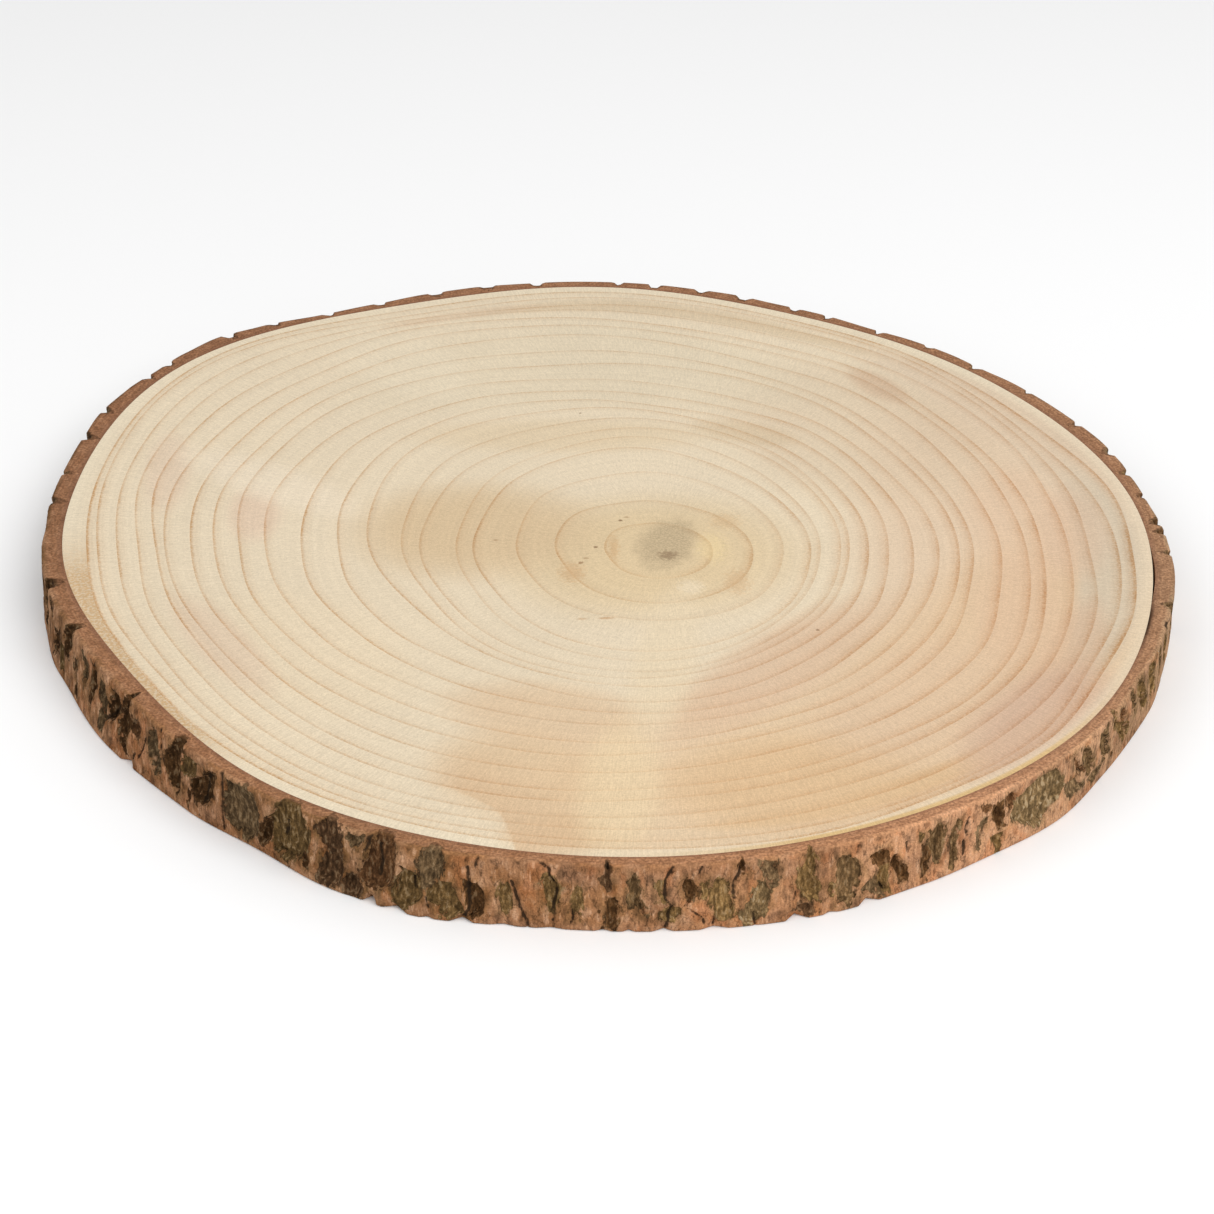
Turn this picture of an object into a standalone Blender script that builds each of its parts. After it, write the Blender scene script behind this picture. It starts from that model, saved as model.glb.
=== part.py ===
"""Wood slice: a thin round slab sawn straight across a log, with its bark still on.

Units are metres, +Z is up, and bearings are degrees anticlockwise from +X seen from above.
The slab lies flat on z = 0 and the origin is the middle of its underside.
The wood is one solid disc. The bark is one closed ring round it, with ridges and furrows outside.
"""
import math
import random

import bmesh
import bpy
import numpy as np

# Driving dimensions
THICKNESS = 0.020
WOOD_RADIUS = 0.1665
BARK_GAP = 0.0003
SAWN_EDGE = 0.0004
SHARP_FROM = 40

# How finely the outline and the bark are divided
BARK_STEPS = 540
WOOD_STEPS = 220

# The log wasn't a true cylinder: lobes round it, height in metres and bearing of one crest
OUTLINE_LOBES = (
    (2, 0.0073, -52),
    (3, 0.0024, 24),
    (4, 0.0012, -22),
    (5, 0.0009, 16),
    (6, 0.0007, 20),
    (7, 0.0008, -14),
    (8, 0.0008, 5),
)
# A flat swelling of the outer wood at the left front: bearing, half width in degrees, height
WOOD_SWELLING = (-158, 30, 0.0024)

# Bark thickness out to the crests of its ridges: bearing, millimetres
BARK_CRESTS = (
    (-178, 5.9), (-173, 6.5), (-162, 6.7), (-155, 6.1), (-138, 5.8), (-124, 4.6), (-113, 5.2),
    (-105, 5.6), (-95, 4.1), (-86, 4.3), (-75, 4.8), (-64, 4.5), (-50, 4.4), (-38, 4.5),
    (-32, 3.9), (-24, 5.5), (-12, 6.9), (-4, 6.2), (3, 5.1), (8, 5.4), (12, 6.3), (17, 7.0),
    (24, 6.6), (32, 6.4), (38, 5.3), (43, 5.9), (48, 5.7), (54, 4.9), (62, 6.1), (68, 6.2),
    (73, 7.0), (80, 6.2), (90, 5.6), (98, 5.8), (106, 7.1), (112, 6.9), (118, 5.4), (125, 4.5),
    (132, 6.6), (137, 8.2), (142, 6.9), (147, 5.8), (152, 6.9), (158, 7.8), (163, 7.0),
    (170, 6.7), (177, 6.8),
)
BARK_LEAST = 0.0016

# How much further out the lower edge stands than the upper one: bearing, millimetres
FOOT_FLARE = (
    (-178, 1.0), (-168, 1.7), (-160, 2.8), (-147, 4.6), (-132, 1.6), (-122, -0.4), (-112, 1.8),
    (-106, 2.6), (-99, 1.6), (-90, 0.8), (-79, 0.9), (-70, 1.6), (-62, 0.6), (-55, 0.0),
    (-47, 0.8), (-38, -0.8), (-30, 0.4), (-18, 0.3), (0, 0.6), (20, 0.0), (160, 0.0),
)

# The bark stands a little off the wood where it has started to lift: bearing, half width, gap
LIFTED_BARK = (-12, 7, 0.0007)

# Outer face of the bark from its lower edge up: height, how far it is worn back from the crest
BARK_FACE = (
    (0.0000, 0.0003),
    (0.0014, 0.0000),
    (0.0045, 0.0000),
    (0.0080, 0.0000),
    (0.0115, 0.0000),
    (0.0150, 0.0000),
    (0.0175, 0.0002),
    (0.0190, 0.0007),
    (0.0200, 0.0015),
)

# Furrows of the front half: depth, then how wide each is at some heights from its top down, as
# height, left bearing and right bearing. Bearings are degrees, all else is millimetres, and a
# furrow whose top is above 20 leaves the upper edge open.
FRONT_FURROWS = (
    (1.3, (17, -179, -177), (9, -179.5, -176.5), (1, -178.5, -177.5)),
    (1.5, (19, -172.5, -170.5), (10, -174.5, -171.5), (1, -175, -173)),
    (1.2, (17, -169.8, -168.6), (10, -170.5, -168.4), (3, -170, -169)),
    (2.0, (22, -166.6, -165), (18, -167.3, -164.6), (11, -167.6, -164.6), (6, -167.2, -165.6)),
    (1.0, (19, -163.6, -162.8), (15.5, -162.9, -162.2)),
    (2.0, (13.5, -161.2, -160), (9, -162, -159.8), (4.5, -161.9, -160.6), (3.5, -161.6, -161.2)),
    (1.4, (11, -159.6, -158.6), (6, -159.6, -158.2), (2.5, -158.9, -158.5)),
    (2.3, (22, -157, -156), (18, -157.9, -155.9), (15, -158.7, -155.8), (11.5, -158.2, -156.9),
     (9, -157.6, -157)),
    (1.6, (13, -155.3, -154.4), (9.5, -155, -153.9), (6.5, -154.7, -153.6), (3, -154.3, -153.7)),
    (1.5, (17.5, -152.6, -151.9), (13, -152.6, -151.2), (8.5, -151.9, -151.4)),
    (1.9, (18, -150.6, -149.6), (13.5, -150.4, -148.8), (9.5, -150, -149.4), (6, -149.9, -149.6)),
    (1.5, (17, -148.2, -147), (12, -148.3, -146.2), (7, -147.8, -146.4), (2.5, -147.3, -146.5)),
    (2.2, (17.5, -145.9, -144), (14, -146.2, -143), (10.5, -146.2, -144.2), (8, -146.1, -145),
     (6.3, -146.6, -146.3)),
    (2.3, (22, -142.4, -141.6), (17, -143.2, -141.8), (13, -143.6, -140.9), (9.5, -144, -141.6),
     (6.5, -143.2, -141.9), (2.5, -142, -141.6)),
    (1.2, (16, -141, -139.6), (13.5, -141.3, -139.3), (11, -140.6, -139.8)),
    (1.5, (18, -137.5, -136.9), (14, -138, -136), (10, -137.5, -135.6), (6.5, -136.9, -135.7),
     (4.8, -136.5, -136.2)),
    (2.3, (22, -133.2, -131.8), (18, -133.8, -131.9), (13, -134.9, -132.5), (10, -134.8, -132.4),
     (6, -133.8, -132.5), (3.5, -133, -132.7)),
    (1.2, (17.5, -131.4, -129.6), (14, -132.4, -129.8), (11.5, -132.2, -130.6),
     (10.5, -131.8, -131.2)),
    (2.3, (17.5, -128.3, -127.2), (14, -129.2, -127.3), (10.5, -130.8, -127.6), (7.5, -131, -128.3),
     (5.5, -129.9, -128.6), (4, -129.8, -129.5)),
    (1.3, (7, -131.4, -130.8), (4, -131.6, -130.9), (1.5, -131.3, -131.1)),
    (1.5, (19, -125.6, -122.2), (15, -125.8, -121.8), (10, -126.4, -121.9), (6, -126.2, -121.9),
     (3.5, -125, -122.6), (2, -124, -123.4)),
    (2.2, (13.5, -120.4, -119.6), (10, -121.3, -120), (6, -121.8, -120.4), (3.3, -121.6, -121.3)),
    (1.9, (22, -118.8, -117.4), (18, -119.5, -116.2), (12, -120.6, -115.6), (7, -120.4, -116.2),
     (3.5, -119.9, -117.4), (2.5, -119.2, -118)),
    (1.7, (8, -117, -116), (5.5, -117.2, -115.7), (3.2, -116.3, -116)),
    (1.9, (22, -114.5, -112.9), (18, -114.7, -112.5), (12, -114.4, -112.2), (7, -114.6, -112.2),
     (1.5, -115, -112.8)),
    (1.2, (19.3, -111.5, -110.2), (17.5, -111.7, -110.1), (15.5, -111.3, -110.4)),
    (2.1, (22, -109.6, -107.6), (16, -109.9, -106.9), (10, -110.4, -107.3), (6.5, -110.6, -107.9),
     (4.3, -109.9, -108.8)),
    (1.7, (6.5, -112, -111), (3.5, -112.6, -110.4), (0, -112, -110.6)),
    (1.9, (14, -107.2, -106.6), (12, -106.8, -105.2), (8, -107.5, -105), (5, -107.6, -105),
     (2, -107.3, -106), (0.5, -106.9, -106.5)),
    (1.5, (22, -104.5, -103), (18, -104.8, -102.8), (14, -104.9, -103), (10, -104.6, -103.4)),
    (1.7, (12, -103.8, -102.4), (9, -104, -101.8), (6, -104.3, -101.4), (3.5, -103.8, -101.2),
     (1, -103.6, -102.6)),
    (1.9, (12.5, -101.1, -100), (9, -101, -99.4), (6, -101, -99.3), (3.5, -100.8, -99.8),
     (1.5, -101.3, -100.9)),
    (1.2, (12.5, -98.3, -97.5), (9.5, -98.6, -97.1), (7, -98.2, -97), (4, -98.1, -97.6)),
    (1.4, (16, -94.6, -93.6), (13.5, -95, -93.4), (10, -94.6, -93.2), (5, -94.4, -93.7)),
    (1.0, (13, -91.9, -91.5), (8, -92.4, -91.6), (3, -92.5, -91.8)),
    (1.7, (22, -89.7, -89), (16, -89.8, -88.9), (11, -89.6, -88.9)),
    (1.6, (10.8, -89.5, -88.7), (7, -89.6, -88.1), (4, -89.5, -88.3), (1, -89.5, -88.9)),
    (1.8, (17.8, -87.3, -86.9), (15, -87.6, -86.7), (11, -87.7, -86.5), (7.5, -87.3, -86.3),
     (4.5, -86.7, -86.3)),
    (1.2, (15, -85.3, -84.8), (12, -85.4, -84.7), (9, -85.2, -84.8)),
    (1.5, (15.5, -83.2, -82.6), (13, -83.5, -82.2), (10, -82.9, -82.2), (7, -83.4, -82.9)),
    (1.4, (7.5, -84.1, -83.2), (5, -85.2, -83), (3, -84.9, -83.3)),
    (1.0, (15.5, -81.5, -81.2), (13, -81.9, -81.3), (11, -81.6, -81.4)),
    (1.6, (22, -78.5, -78.1), (17.5, -79, -77.9), (15.5, -78.6, -78.1)),
    (1.2, (15, -80.7, -79.6), (11, -81, -79), (7, -80.8, -79), (3.5, -80.2, -79.3)),
    (1.6, (19, -76.7, -75.5), (16, -77, -75.1), (13, -76.4, -75.2), (11.5, -75.9, -75.5)),
    (1.4, (13, -77, -76.2), (10, -77.8, -75.9), (5, -78.3, -76.2), (0.5, -78.4, -76.8)),
    (1.9, (22, -72.8, -72.2), (17, -73.2, -72), (12, -73.9, -72.2), (8, -73.6, -71.8),
     (5, -72.9, -72)),
    (1.6, (4.5, -73.9, -72.8), (2.5, -74, -72.3), (0.5, -73, -72.4)),
    (1.9, (16.2, -70.2, -69.6), (14, -70.5, -68.4), (11, -70.3, -67.8), (8, -70.2, -67.8),
     (5, -70.4, -68.3), (1, -70.4, -69.2)),
    (1.2, (8.5, -71.2, -70.6), (5, -71.3, -70.6)),
    (1.7, (7.5, -67.5, -66.6), (5, -68.3, -66.2), (2, -68.1, -66), (0.5, -66.8, -65.7)),
    (1.8, (16.3, -66.2, -65.8), (14.2, -67.6, -65.7), (12.5, -67, -65.7), (10.8, -66.2, -65.8)),
    (1.6, (10.5, -66.2, -65.6), (7.5, -66.8, -65.9), (4, -66.6, -65.7), (1, -66, -65.3)),
    (1.9, (13, -65.3, -64.9), (10, -65.6, -64.4), (7, -65.1, -63.7), (3.5, -64.5, -63.8)),
    (1.8, (18.3, -60.9, -60.1), (15, -61.7, -60), (12, -61.9, -60.2), (8, -61.2, -60.3),
     (5.5, -61, -60.7)),
    (1.4, (12, -62, -61.6), (9, -62.1, -61.5), (5.5, -62.2, -61.6), (2.5, -62.3, -62.1)),
    (1.0, (16.3, -62.5, -62.1), (15, -62.6, -62.2)),
    (1.3, (17, -58.9, -58.5), (14.5, -59.3, -58.4), (11, -59.6, -58.9), (8, -59.3, -58.8),
     (5, -59.5, -58.6), (2, -59.6, -59.1)),
    (1.4, (17.8, -56.2, -55.5), (16, -56.1, -55.4)),
    (1.4, (14.5, -56, -55.4), (12, -56.3, -55.5), (8.5, -56.5, -55.9), (4.5, -56.5, -56.2)),
    (1.8, (17, -54.9, -54), (14, -55.2, -53.9), (11.5, -54.8, -53.6), (8, -54.2, -53.2)),
    (1.6, (7, -55.2, -53.2), (4.5, -54.8, -53.3), (2, -54.2, -53.8), (0, -54.1, -53.9)),
    (1.5, (18.5, -53.3, -52.8), (16.5, -53.6, -52.3), (13, -53.2, -52.2)),
    (1.6, (18, -49.8, -47.6), (15, -52.4, -46.4), (11, -53, -46.2), (8, -52.6, -47.2),
     (5, -50.6, -48), (3, -50, -49)),
    (1.3, (18.5, -45.2, -44.6), (14, -44.6, -43.8), (11, -44.4, -43)),
    (1.5, (18.3, -43.8, -43), (15, -43.5, -42), (11.5, -42.8, -41.4), (8.5, -42.6, -41.2)),
    (1.3, (11, -46, -43.6), (8, -46, -43.4), (5.5, -45.2, -42.8)),
    (1.5, (17.5, -40.6, -39.4), (14, -40.6, -38.6), (10.5, -39.8, -38), (7, -39, -37.8)),
    (1.2, (7.5, -41.8, -39.6), (4.5, -42, -39.8), (2.5, -41.4, -40.4)),
    (1.9, (22, -38.2, -37.5), (16, -37.9, -37), (12.5, -37, -35.4), (9, -35.8, -33.4),
     (6.5, -35, -33), (4.5, -34.4, -34)),
    (1.4, (19, -36.8, -36.2), (16, -36.4, -35.2), (13, -35.6, -34.2)),
    (1.3, (6.5, -37.6, -36.8), (5, -37.4, -36.8)),
    (1.4, (19.5, -34, -33.2), (16, -33.4, -32.4), (12, -32.4, -31.6), (9, -31.8, -31.4)),
    (1.3, (19, -32, -30.6), (15, -31.6, -29.6), (10, -30.4, -28.8), (6, -29.6, -28.6)),
    (1.3, (19, -28.6, -27.2), (13, -28.2, -26.4), (7, -27.2, -26)),
    (1.5, (19, -25.6, -24.6), (13, -25, -23.4), (6, -24, -22.6)),
    (1.3, (18, -22.2, -21.2), (12, -21.8, -20), (5, -20.4, -19.4)),
    (1.6, (22, -18.6, -17.6), (13, -17.8, -16), (5, -16.6, -15.6)),
    (1.6, (17, -13.4, -12.4), (10, -13, -11), (1, -11.8, -10.8)),
    (1.5, (22, -8.4, -7.2), (14, -7.8, -6.4), (8, -7.2, -6.6)),
    (2.2, (22, -4.4, -3), (16, -4, -2.6), (11, -3.4, -3)),
)

# Small chips in the lower edge: bearing, half width in degrees, depth in millimetres
FOOT_NOTCHES = (
    (-141.6, 1.1, 2.4), (-109.7, 0.7, 3.4), (-107.3, 1.2, 2.2), (-104.4, 0.6, 0.8),
    (-101.5, 1.0, 2.2), (-98, 1.2, 0.8), (-94, 1.2, 0.7), (-89.7, 0.7, 0.8), (-87.6, 0.5, 0.9),
    (-84.8, 0.9, 1.2), (-80.6, 1.2, 1.4), (-73.7, 1.0, 2.6), (-70.8, 0.7, 0.8), (-67.3, 1.0, 2.2),
)
CHIP_HEIGHT = 0.0035

# Notches that the back half shows in its upper edge: bearing, depth in millimetres
BACK_NOTCHES = (
    (-1.5, 2.0), (4, 1.4), (9, 1.7), (14, 1.6), (21, 1.6), (30, 1.3), (38.5, 2.1), (46, 1.3),
    (53, 2.5), (60.5, 2.5), (65, 2.2), (72, 2.6), (77.5, 2.3), (83.5, 2.8), (88, 2.4),
    (98, 2.4), (104, 1.3), (110.5, 1.7), (117.5, 1.6), (124, 2.1), (130.5, 1.6), (136, 3.0),
    (145, 1.9), (148.5, 2.4), (157, 2.2), (163, 2.5), (171, 1.4), (177, 1.2),
)
BACK_SEED = 12
NOTCH_TOP = 22
# A gap between two notches that is narrower than this many degrees takes one short furrow
NARROW_GAP = 7

# A furrow's wall falls to its floor within this many millimetres
WALL_WIDTH = 1.2

# Looks: colour and roughness of each node
PALE_WOOD = ((0.74, 0.58, 0.38), 0.6)
BROWN_BARK = ((0.25, 0.12, 0.065), 0.85)


def lobed_radius(bearing):
    """Radius of the wood at a bearing in degrees."""
    radius = WOOD_RADIUS + np.zeros_like(bearing)
    for order, height, crest in OUTLINE_LOBES:
        radius = radius + height * np.cos(np.radians(order * (bearing - crest)))
    middle, half_width, height = WOOD_SWELLING
    return radius + height * bump(bearing, middle, half_width)


def bump(bearing, middle, half_width):
    """A smooth hump, 1 at the middle and 0 from the half width out."""
    away = np.abs((bearing - middle + 180) % 360 - 180) / half_width
    return np.where(away < 1, np.cos(away * math.pi / 2) ** 2, 0.0)


def eased_round(bearing, stated):
    """Millimetres stated at some bearings, eased between them all the way round, in metres."""
    known = np.array(stated)
    bearings = np.concatenate((known[-1:, 0] - 360, known[:, 0], known[:1, 0] + 360))
    values = np.concatenate((known[-1:, 1], known[:, 1], known[:1, 1])) / 1000
    wrapped = (bearing + 180) % 360 - 180
    after = np.clip(np.searchsorted(bearings, wrapped), 1, len(bearings) - 1)
    share = (wrapped - bearings[after - 1]) / (bearings[after] - bearings[after - 1])
    eased = share * share * (3 - 2 * share)
    return values[after - 1] * (1 - eased) + values[after] * eased


def back_furrows():
    """Furrows of the back half: one at each notch of the upper edge, and shorter ones between."""
    rng = random.Random(BACK_SEED)
    furrows = []
    bearings = [notch[0] for notch in BACK_NOTCHES] + [182]
    for (bearing, depth), following in zip(BACK_NOTCHES, bearings[1:]):
        furrows.append(random_furrow(rng, bearing, NOTCH_TOP, rng.uniform(1, 8), depth))
        room = following - bearing
        for share in ((0.5,) if room < NARROW_GAP else (0.34, 0.67)):
            middle = bearing + room * (share + rng.uniform(-0.06, 0.06))
            high = rng.uniform(13, 19)
            furrows.append(random_furrow(rng, middle, high, rng.uniform(1, 5), rng.uniform(0.9, 1.9)))
    return furrows


def random_furrow(rng, bearing, high, low, depth):
    """A furrow of random width and lean between two heights."""
    top_half = rng.uniform(0.4, 0.9)
    middle_half = rng.uniform(0.7, 1.3)
    foot = bearing + rng.uniform(-1, 1)
    foot_half = rng.uniform(0.1, 0.3)
    widest = low + (min(high, THICKNESS * 1000) - low) * rng.uniform(0.4, 0.75)
    return (
        depth,
        (high, bearing - top_half, bearing + top_half),
        (widest, bearing - middle_half, bearing + middle_half),
        (low, foot - foot_half, foot + foot_half),
    )


def within_furrow(bearing, height, sections):
    """Millimetres from a furrow's nearest edge, less than 0 outside it."""
    levels, lefts, rights = zip(*reversed(sections))
    level = height * 1000
    bearing = lefts[0] + (bearing - lefts[0] + 180) % 360 - 180
    degree = math.radians(1) * WOOD_RADIUS * 1000
    from_left = (bearing - np.interp(level, levels, lefts)) * degree
    from_right = (np.interp(level, levels, rights) - bearing) * degree
    from_end = np.minimum(level - levels[0], levels[-1] - level)
    return np.minimum(np.minimum(from_left, from_right), from_end)


def furrow_depth(bearing, height, furrows):
    """How deep the bark is cut at each bearing and height, in metres."""
    depth = np.zeros_like(bearing + height)
    for deepest, *sections in furrows:
        wall = np.clip(within_furrow(bearing, height, sections) / WALL_WIDTH, 0, 1)
        depth = np.maximum(depth, deepest / 1000 * wall * wall * (3 - 2 * wall))
    for middle, half_width, deepest in FOOT_NOTCHES:
        away = np.abs((bearing - middle + 180) % 360 - 180) / half_width
        chip = np.clip(1 - away, 0, 1) * np.clip(1 - height / CHIP_HEIGHT, 0, 1)
        depth = np.maximum(depth, deepest / 1000 * chip)
    return depth


def ring_bearings(steps):
    return np.arange(steps) * 360 / steps


def bark_section(bearing):
    """Section points of the bark at each bearing, anticlockwise round the section from its foot."""
    furrows = FRONT_FURROWS + tuple(back_furrows())
    inner = lobed_radius(bearing) + BARK_GAP + LIFTED_BARK[2] * bump(bearing, *LIFTED_BARK[:2])
    crest = lobed_radius(bearing) + eased_round(bearing, BARK_CRESTS)
    flare = eased_round(bearing, FOOT_FLARE)
    points = []
    for height, worn in BARK_FACE:
        cut = furrow_depth(bearing, np.full_like(bearing, height), furrows)
        face = crest + flare * (1 - height / THICKNESS)
        outer = np.maximum(face - worn - cut, inner + BARK_LEAST)
        points.append((outer, np.full_like(bearing, height)))
    points.append((inner, np.full_like(bearing, THICKNESS)))
    points.append((inner, np.zeros_like(bearing)))
    return points


def slab_centre():
    """Middle of the slab's outer box, which becomes the origin."""
    bearing = ring_bearings(BARK_STEPS)
    x_reach = []
    y_reach = []
    for radius, _ in bark_section(bearing):
        x_reach.append(radius * np.cos(np.radians(bearing)))
        y_reach.append(radius * np.sin(np.radians(bearing)))
    x_reach = np.concatenate(x_reach)
    y_reach = np.concatenate(y_reach)
    return (x_reach.max() + x_reach.min()) / 2, (y_reach.max() + y_reach.min()) / 2


def material(name, colour, roughness):
    made = bpy.data.materials.new(name)
    made.use_nodes = True
    shader = made.node_tree.nodes["Principled BSDF"]
    shader.inputs["Base Color"].default_value = (*colour, 1)
    shader.inputs["Roughness"].default_value = roughness
    shader.inputs["Metallic"].default_value = 0
    made.diffuse_color = (*colour, 1)
    return made


def finished(obj, collection, look):
    """Gives a solid its material and smooth shading, and files it with the object's parts."""
    for holder in list(obj.users_collection):
        holder.objects.unlink(obj)
    collection.objects.link(obj)
    obj.data.materials.append(look)
    obj.data.shade_smooth()
    obj.data.set_sharp_from_angle(angle=math.radians(SHARP_FROM))
    return obj


def make_wood(collection, centre):
    """A disc that starts as a cylinder and takes the log's lobed outline."""
    shape = bmesh.new()
    bmesh.ops.create_cone(
        shape, cap_ends=True, segments=WOOD_STEPS, radius1=WOOD_RADIUS, radius2=WOOD_RADIUS,
        depth=THICKNESS,
    )
    for vertex in shape.verts:
        angle = math.degrees(math.atan2(vertex.co.y, vertex.co.x))
        bearing = round(angle * WOOD_STEPS / 360) * 360 / WOOD_STEPS
        radius = float(lobed_radius(np.array(bearing)))
        vertex.co.x = radius * math.cos(math.radians(bearing)) - centre[0]
        vertex.co.y = radius * math.sin(math.radians(bearing)) - centre[1]
        vertex.co.z = THICKNESS if vertex.co.z > 0 else 0
    mesh = bpy.data.meshes.new("wood")
    shape.to_mesh(mesh)
    shape.free()
    wood = bpy.data.objects.new("wood", mesh)
    bpy.context.scene.collection.objects.link(wood)
    edge = wood.modifiers.new("sawn edge", "BEVEL")
    edge.width = SAWN_EDGE
    edge.segments = 1
    edge.limit_method = "ANGLE"
    edge.angle_limit = math.radians(SHARP_FROM)
    return finished(wood, collection, material("pale wood", *PALE_WOOD))


def make_bark(collection, centre):
    """A section turned once round the slab, whose points then move out to the bark's relief."""
    bearing = ring_bearings(BARK_STEPS)
    section = bark_section(bearing)
    shape = bmesh.new()
    corner_of = shape.verts.layers.int.new("corner")
    corners = []
    for corner, (radius, height) in enumerate(section):
        vertex = shape.verts.new((radius[0], 0, height[0]))
        vertex[corner_of] = corner
        corners.append(vertex)
    sides = [shape.edges.new(pair) for pair in zip(corners, corners[1:] + corners[:1])]
    bmesh.ops.spin(
        shape, geom=corners + sides, cent=(0, 0, 0), axis=(0, 0, 1), angle=2 * math.pi,
        steps=BARK_STEPS, use_merge=True,
    )
    for vertex in shape.verts:
        angle = math.degrees(math.atan2(vertex.co.y, vertex.co.x))
        step = round(angle * BARK_STEPS / 360) % BARK_STEPS
        radius, height = section[vertex[corner_of]]
        vertex.co.x = radius[step] * math.cos(math.radians(bearing[step])) - centre[0]
        vertex.co.y = radius[step] * math.sin(math.radians(bearing[step])) - centre[1]
        vertex.co.z = height[step]
    bmesh.ops.recalc_face_normals(shape, faces=shape.faces)
    mesh = bpy.data.meshes.new("bark")
    shape.to_mesh(mesh)
    shape.free()
    bark = bpy.data.objects.new("bark", mesh)
    bpy.context.scene.collection.objects.link(bark)
    return finished(bark, collection, material("brown bark", *BROWN_BARK))


def main():
    for obj in list(bpy.data.objects):
        bpy.data.objects.remove(obj)
    slab = bpy.data.collections.new("wood_slice")
    bpy.context.scene.collection.children.link(slab)
    centre = slab_centre()
    make_wood(slab, centre)
    make_bark(slab, centre)


main()
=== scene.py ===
"""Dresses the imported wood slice: growth rings and tints on the wood, relief and colour on the bark.

Units are metres, +Z is up, and bearings are degrees anticlockwise from +X seen from above.
Bearings of the wood's rings and tints are taken round the pith, all others round the wood's middle.
"""

import math
import random

import bpy
import numpy as np
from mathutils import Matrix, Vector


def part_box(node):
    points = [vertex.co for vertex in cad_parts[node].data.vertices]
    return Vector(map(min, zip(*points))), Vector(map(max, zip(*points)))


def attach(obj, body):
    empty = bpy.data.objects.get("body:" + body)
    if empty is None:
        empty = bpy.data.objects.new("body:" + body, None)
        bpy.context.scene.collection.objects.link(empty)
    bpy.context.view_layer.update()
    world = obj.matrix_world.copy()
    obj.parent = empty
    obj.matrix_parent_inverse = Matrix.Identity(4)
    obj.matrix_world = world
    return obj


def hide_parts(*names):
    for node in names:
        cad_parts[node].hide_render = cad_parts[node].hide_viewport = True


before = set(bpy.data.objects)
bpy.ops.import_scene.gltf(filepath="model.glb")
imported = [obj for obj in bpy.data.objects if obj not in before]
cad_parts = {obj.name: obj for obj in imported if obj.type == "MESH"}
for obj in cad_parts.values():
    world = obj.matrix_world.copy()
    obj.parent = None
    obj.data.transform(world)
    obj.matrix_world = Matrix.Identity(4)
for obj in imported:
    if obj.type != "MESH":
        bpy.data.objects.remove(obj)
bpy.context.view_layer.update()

# The same values as the solids have
THICKNESS = 0.020
WOOD_RADIUS = 0.1665
BARK_GAP = 0.0003
OUTLINE_LOBES = (
    (2, 0.0073, -52),
    (3, 0.0024, 24),
    (4, 0.0012, -22),
    (5, 0.0009, 16),
    (6, 0.0007, 20),
    (7, 0.0008, -14),
    (8, 0.0008, 5),
)
WOOD_SWELLING = (-158, 30, 0.0024)
BARK_CRESTS = (
    (-178, 5.9), (-173, 6.5), (-162, 6.7), (-155, 6.1), (-138, 5.8), (-124, 4.6), (-113, 5.2),
    (-105, 5.6), (-95, 4.1), (-86, 4.3), (-75, 4.8), (-64, 4.5), (-50, 4.4), (-38, 4.5),
    (-32, 3.9), (-24, 5.5), (-12, 6.9), (-4, 6.2), (3, 5.1), (8, 5.4), (12, 6.3), (17, 7.0),
    (24, 6.6), (32, 6.4), (38, 5.3), (43, 5.9), (48, 5.7), (54, 4.9), (62, 6.1), (68, 6.2),
    (73, 7.0), (80, 6.2), (90, 5.6), (98, 5.8), (106, 7.1), (112, 6.9), (118, 5.4), (125, 4.5),
    (132, 6.6), (137, 8.2), (142, 6.9), (147, 5.8), (152, 6.9), (158, 7.8), (163, 7.0),
    (170, 6.7), (177, 6.8),
)
BARK_LEAST = 0.0016
FOOT_FLARE = (
    (-178, 1.0), (-168, 1.7), (-160, 2.8), (-147, 4.6), (-132, 1.6), (-122, -0.4), (-112, 1.8),
    (-106, 2.6), (-99, 1.6), (-90, 0.8), (-79, 0.9), (-70, 1.6), (-62, 0.6), (-55, 0.0),
    (-47, 0.8), (-38, -0.8), (-30, 0.4), (-18, 0.3), (0, 0.6), (20, 0.0), (160, 0.0),
)
LIFTED_BARK = (-12, 7, 0.0007)

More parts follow.
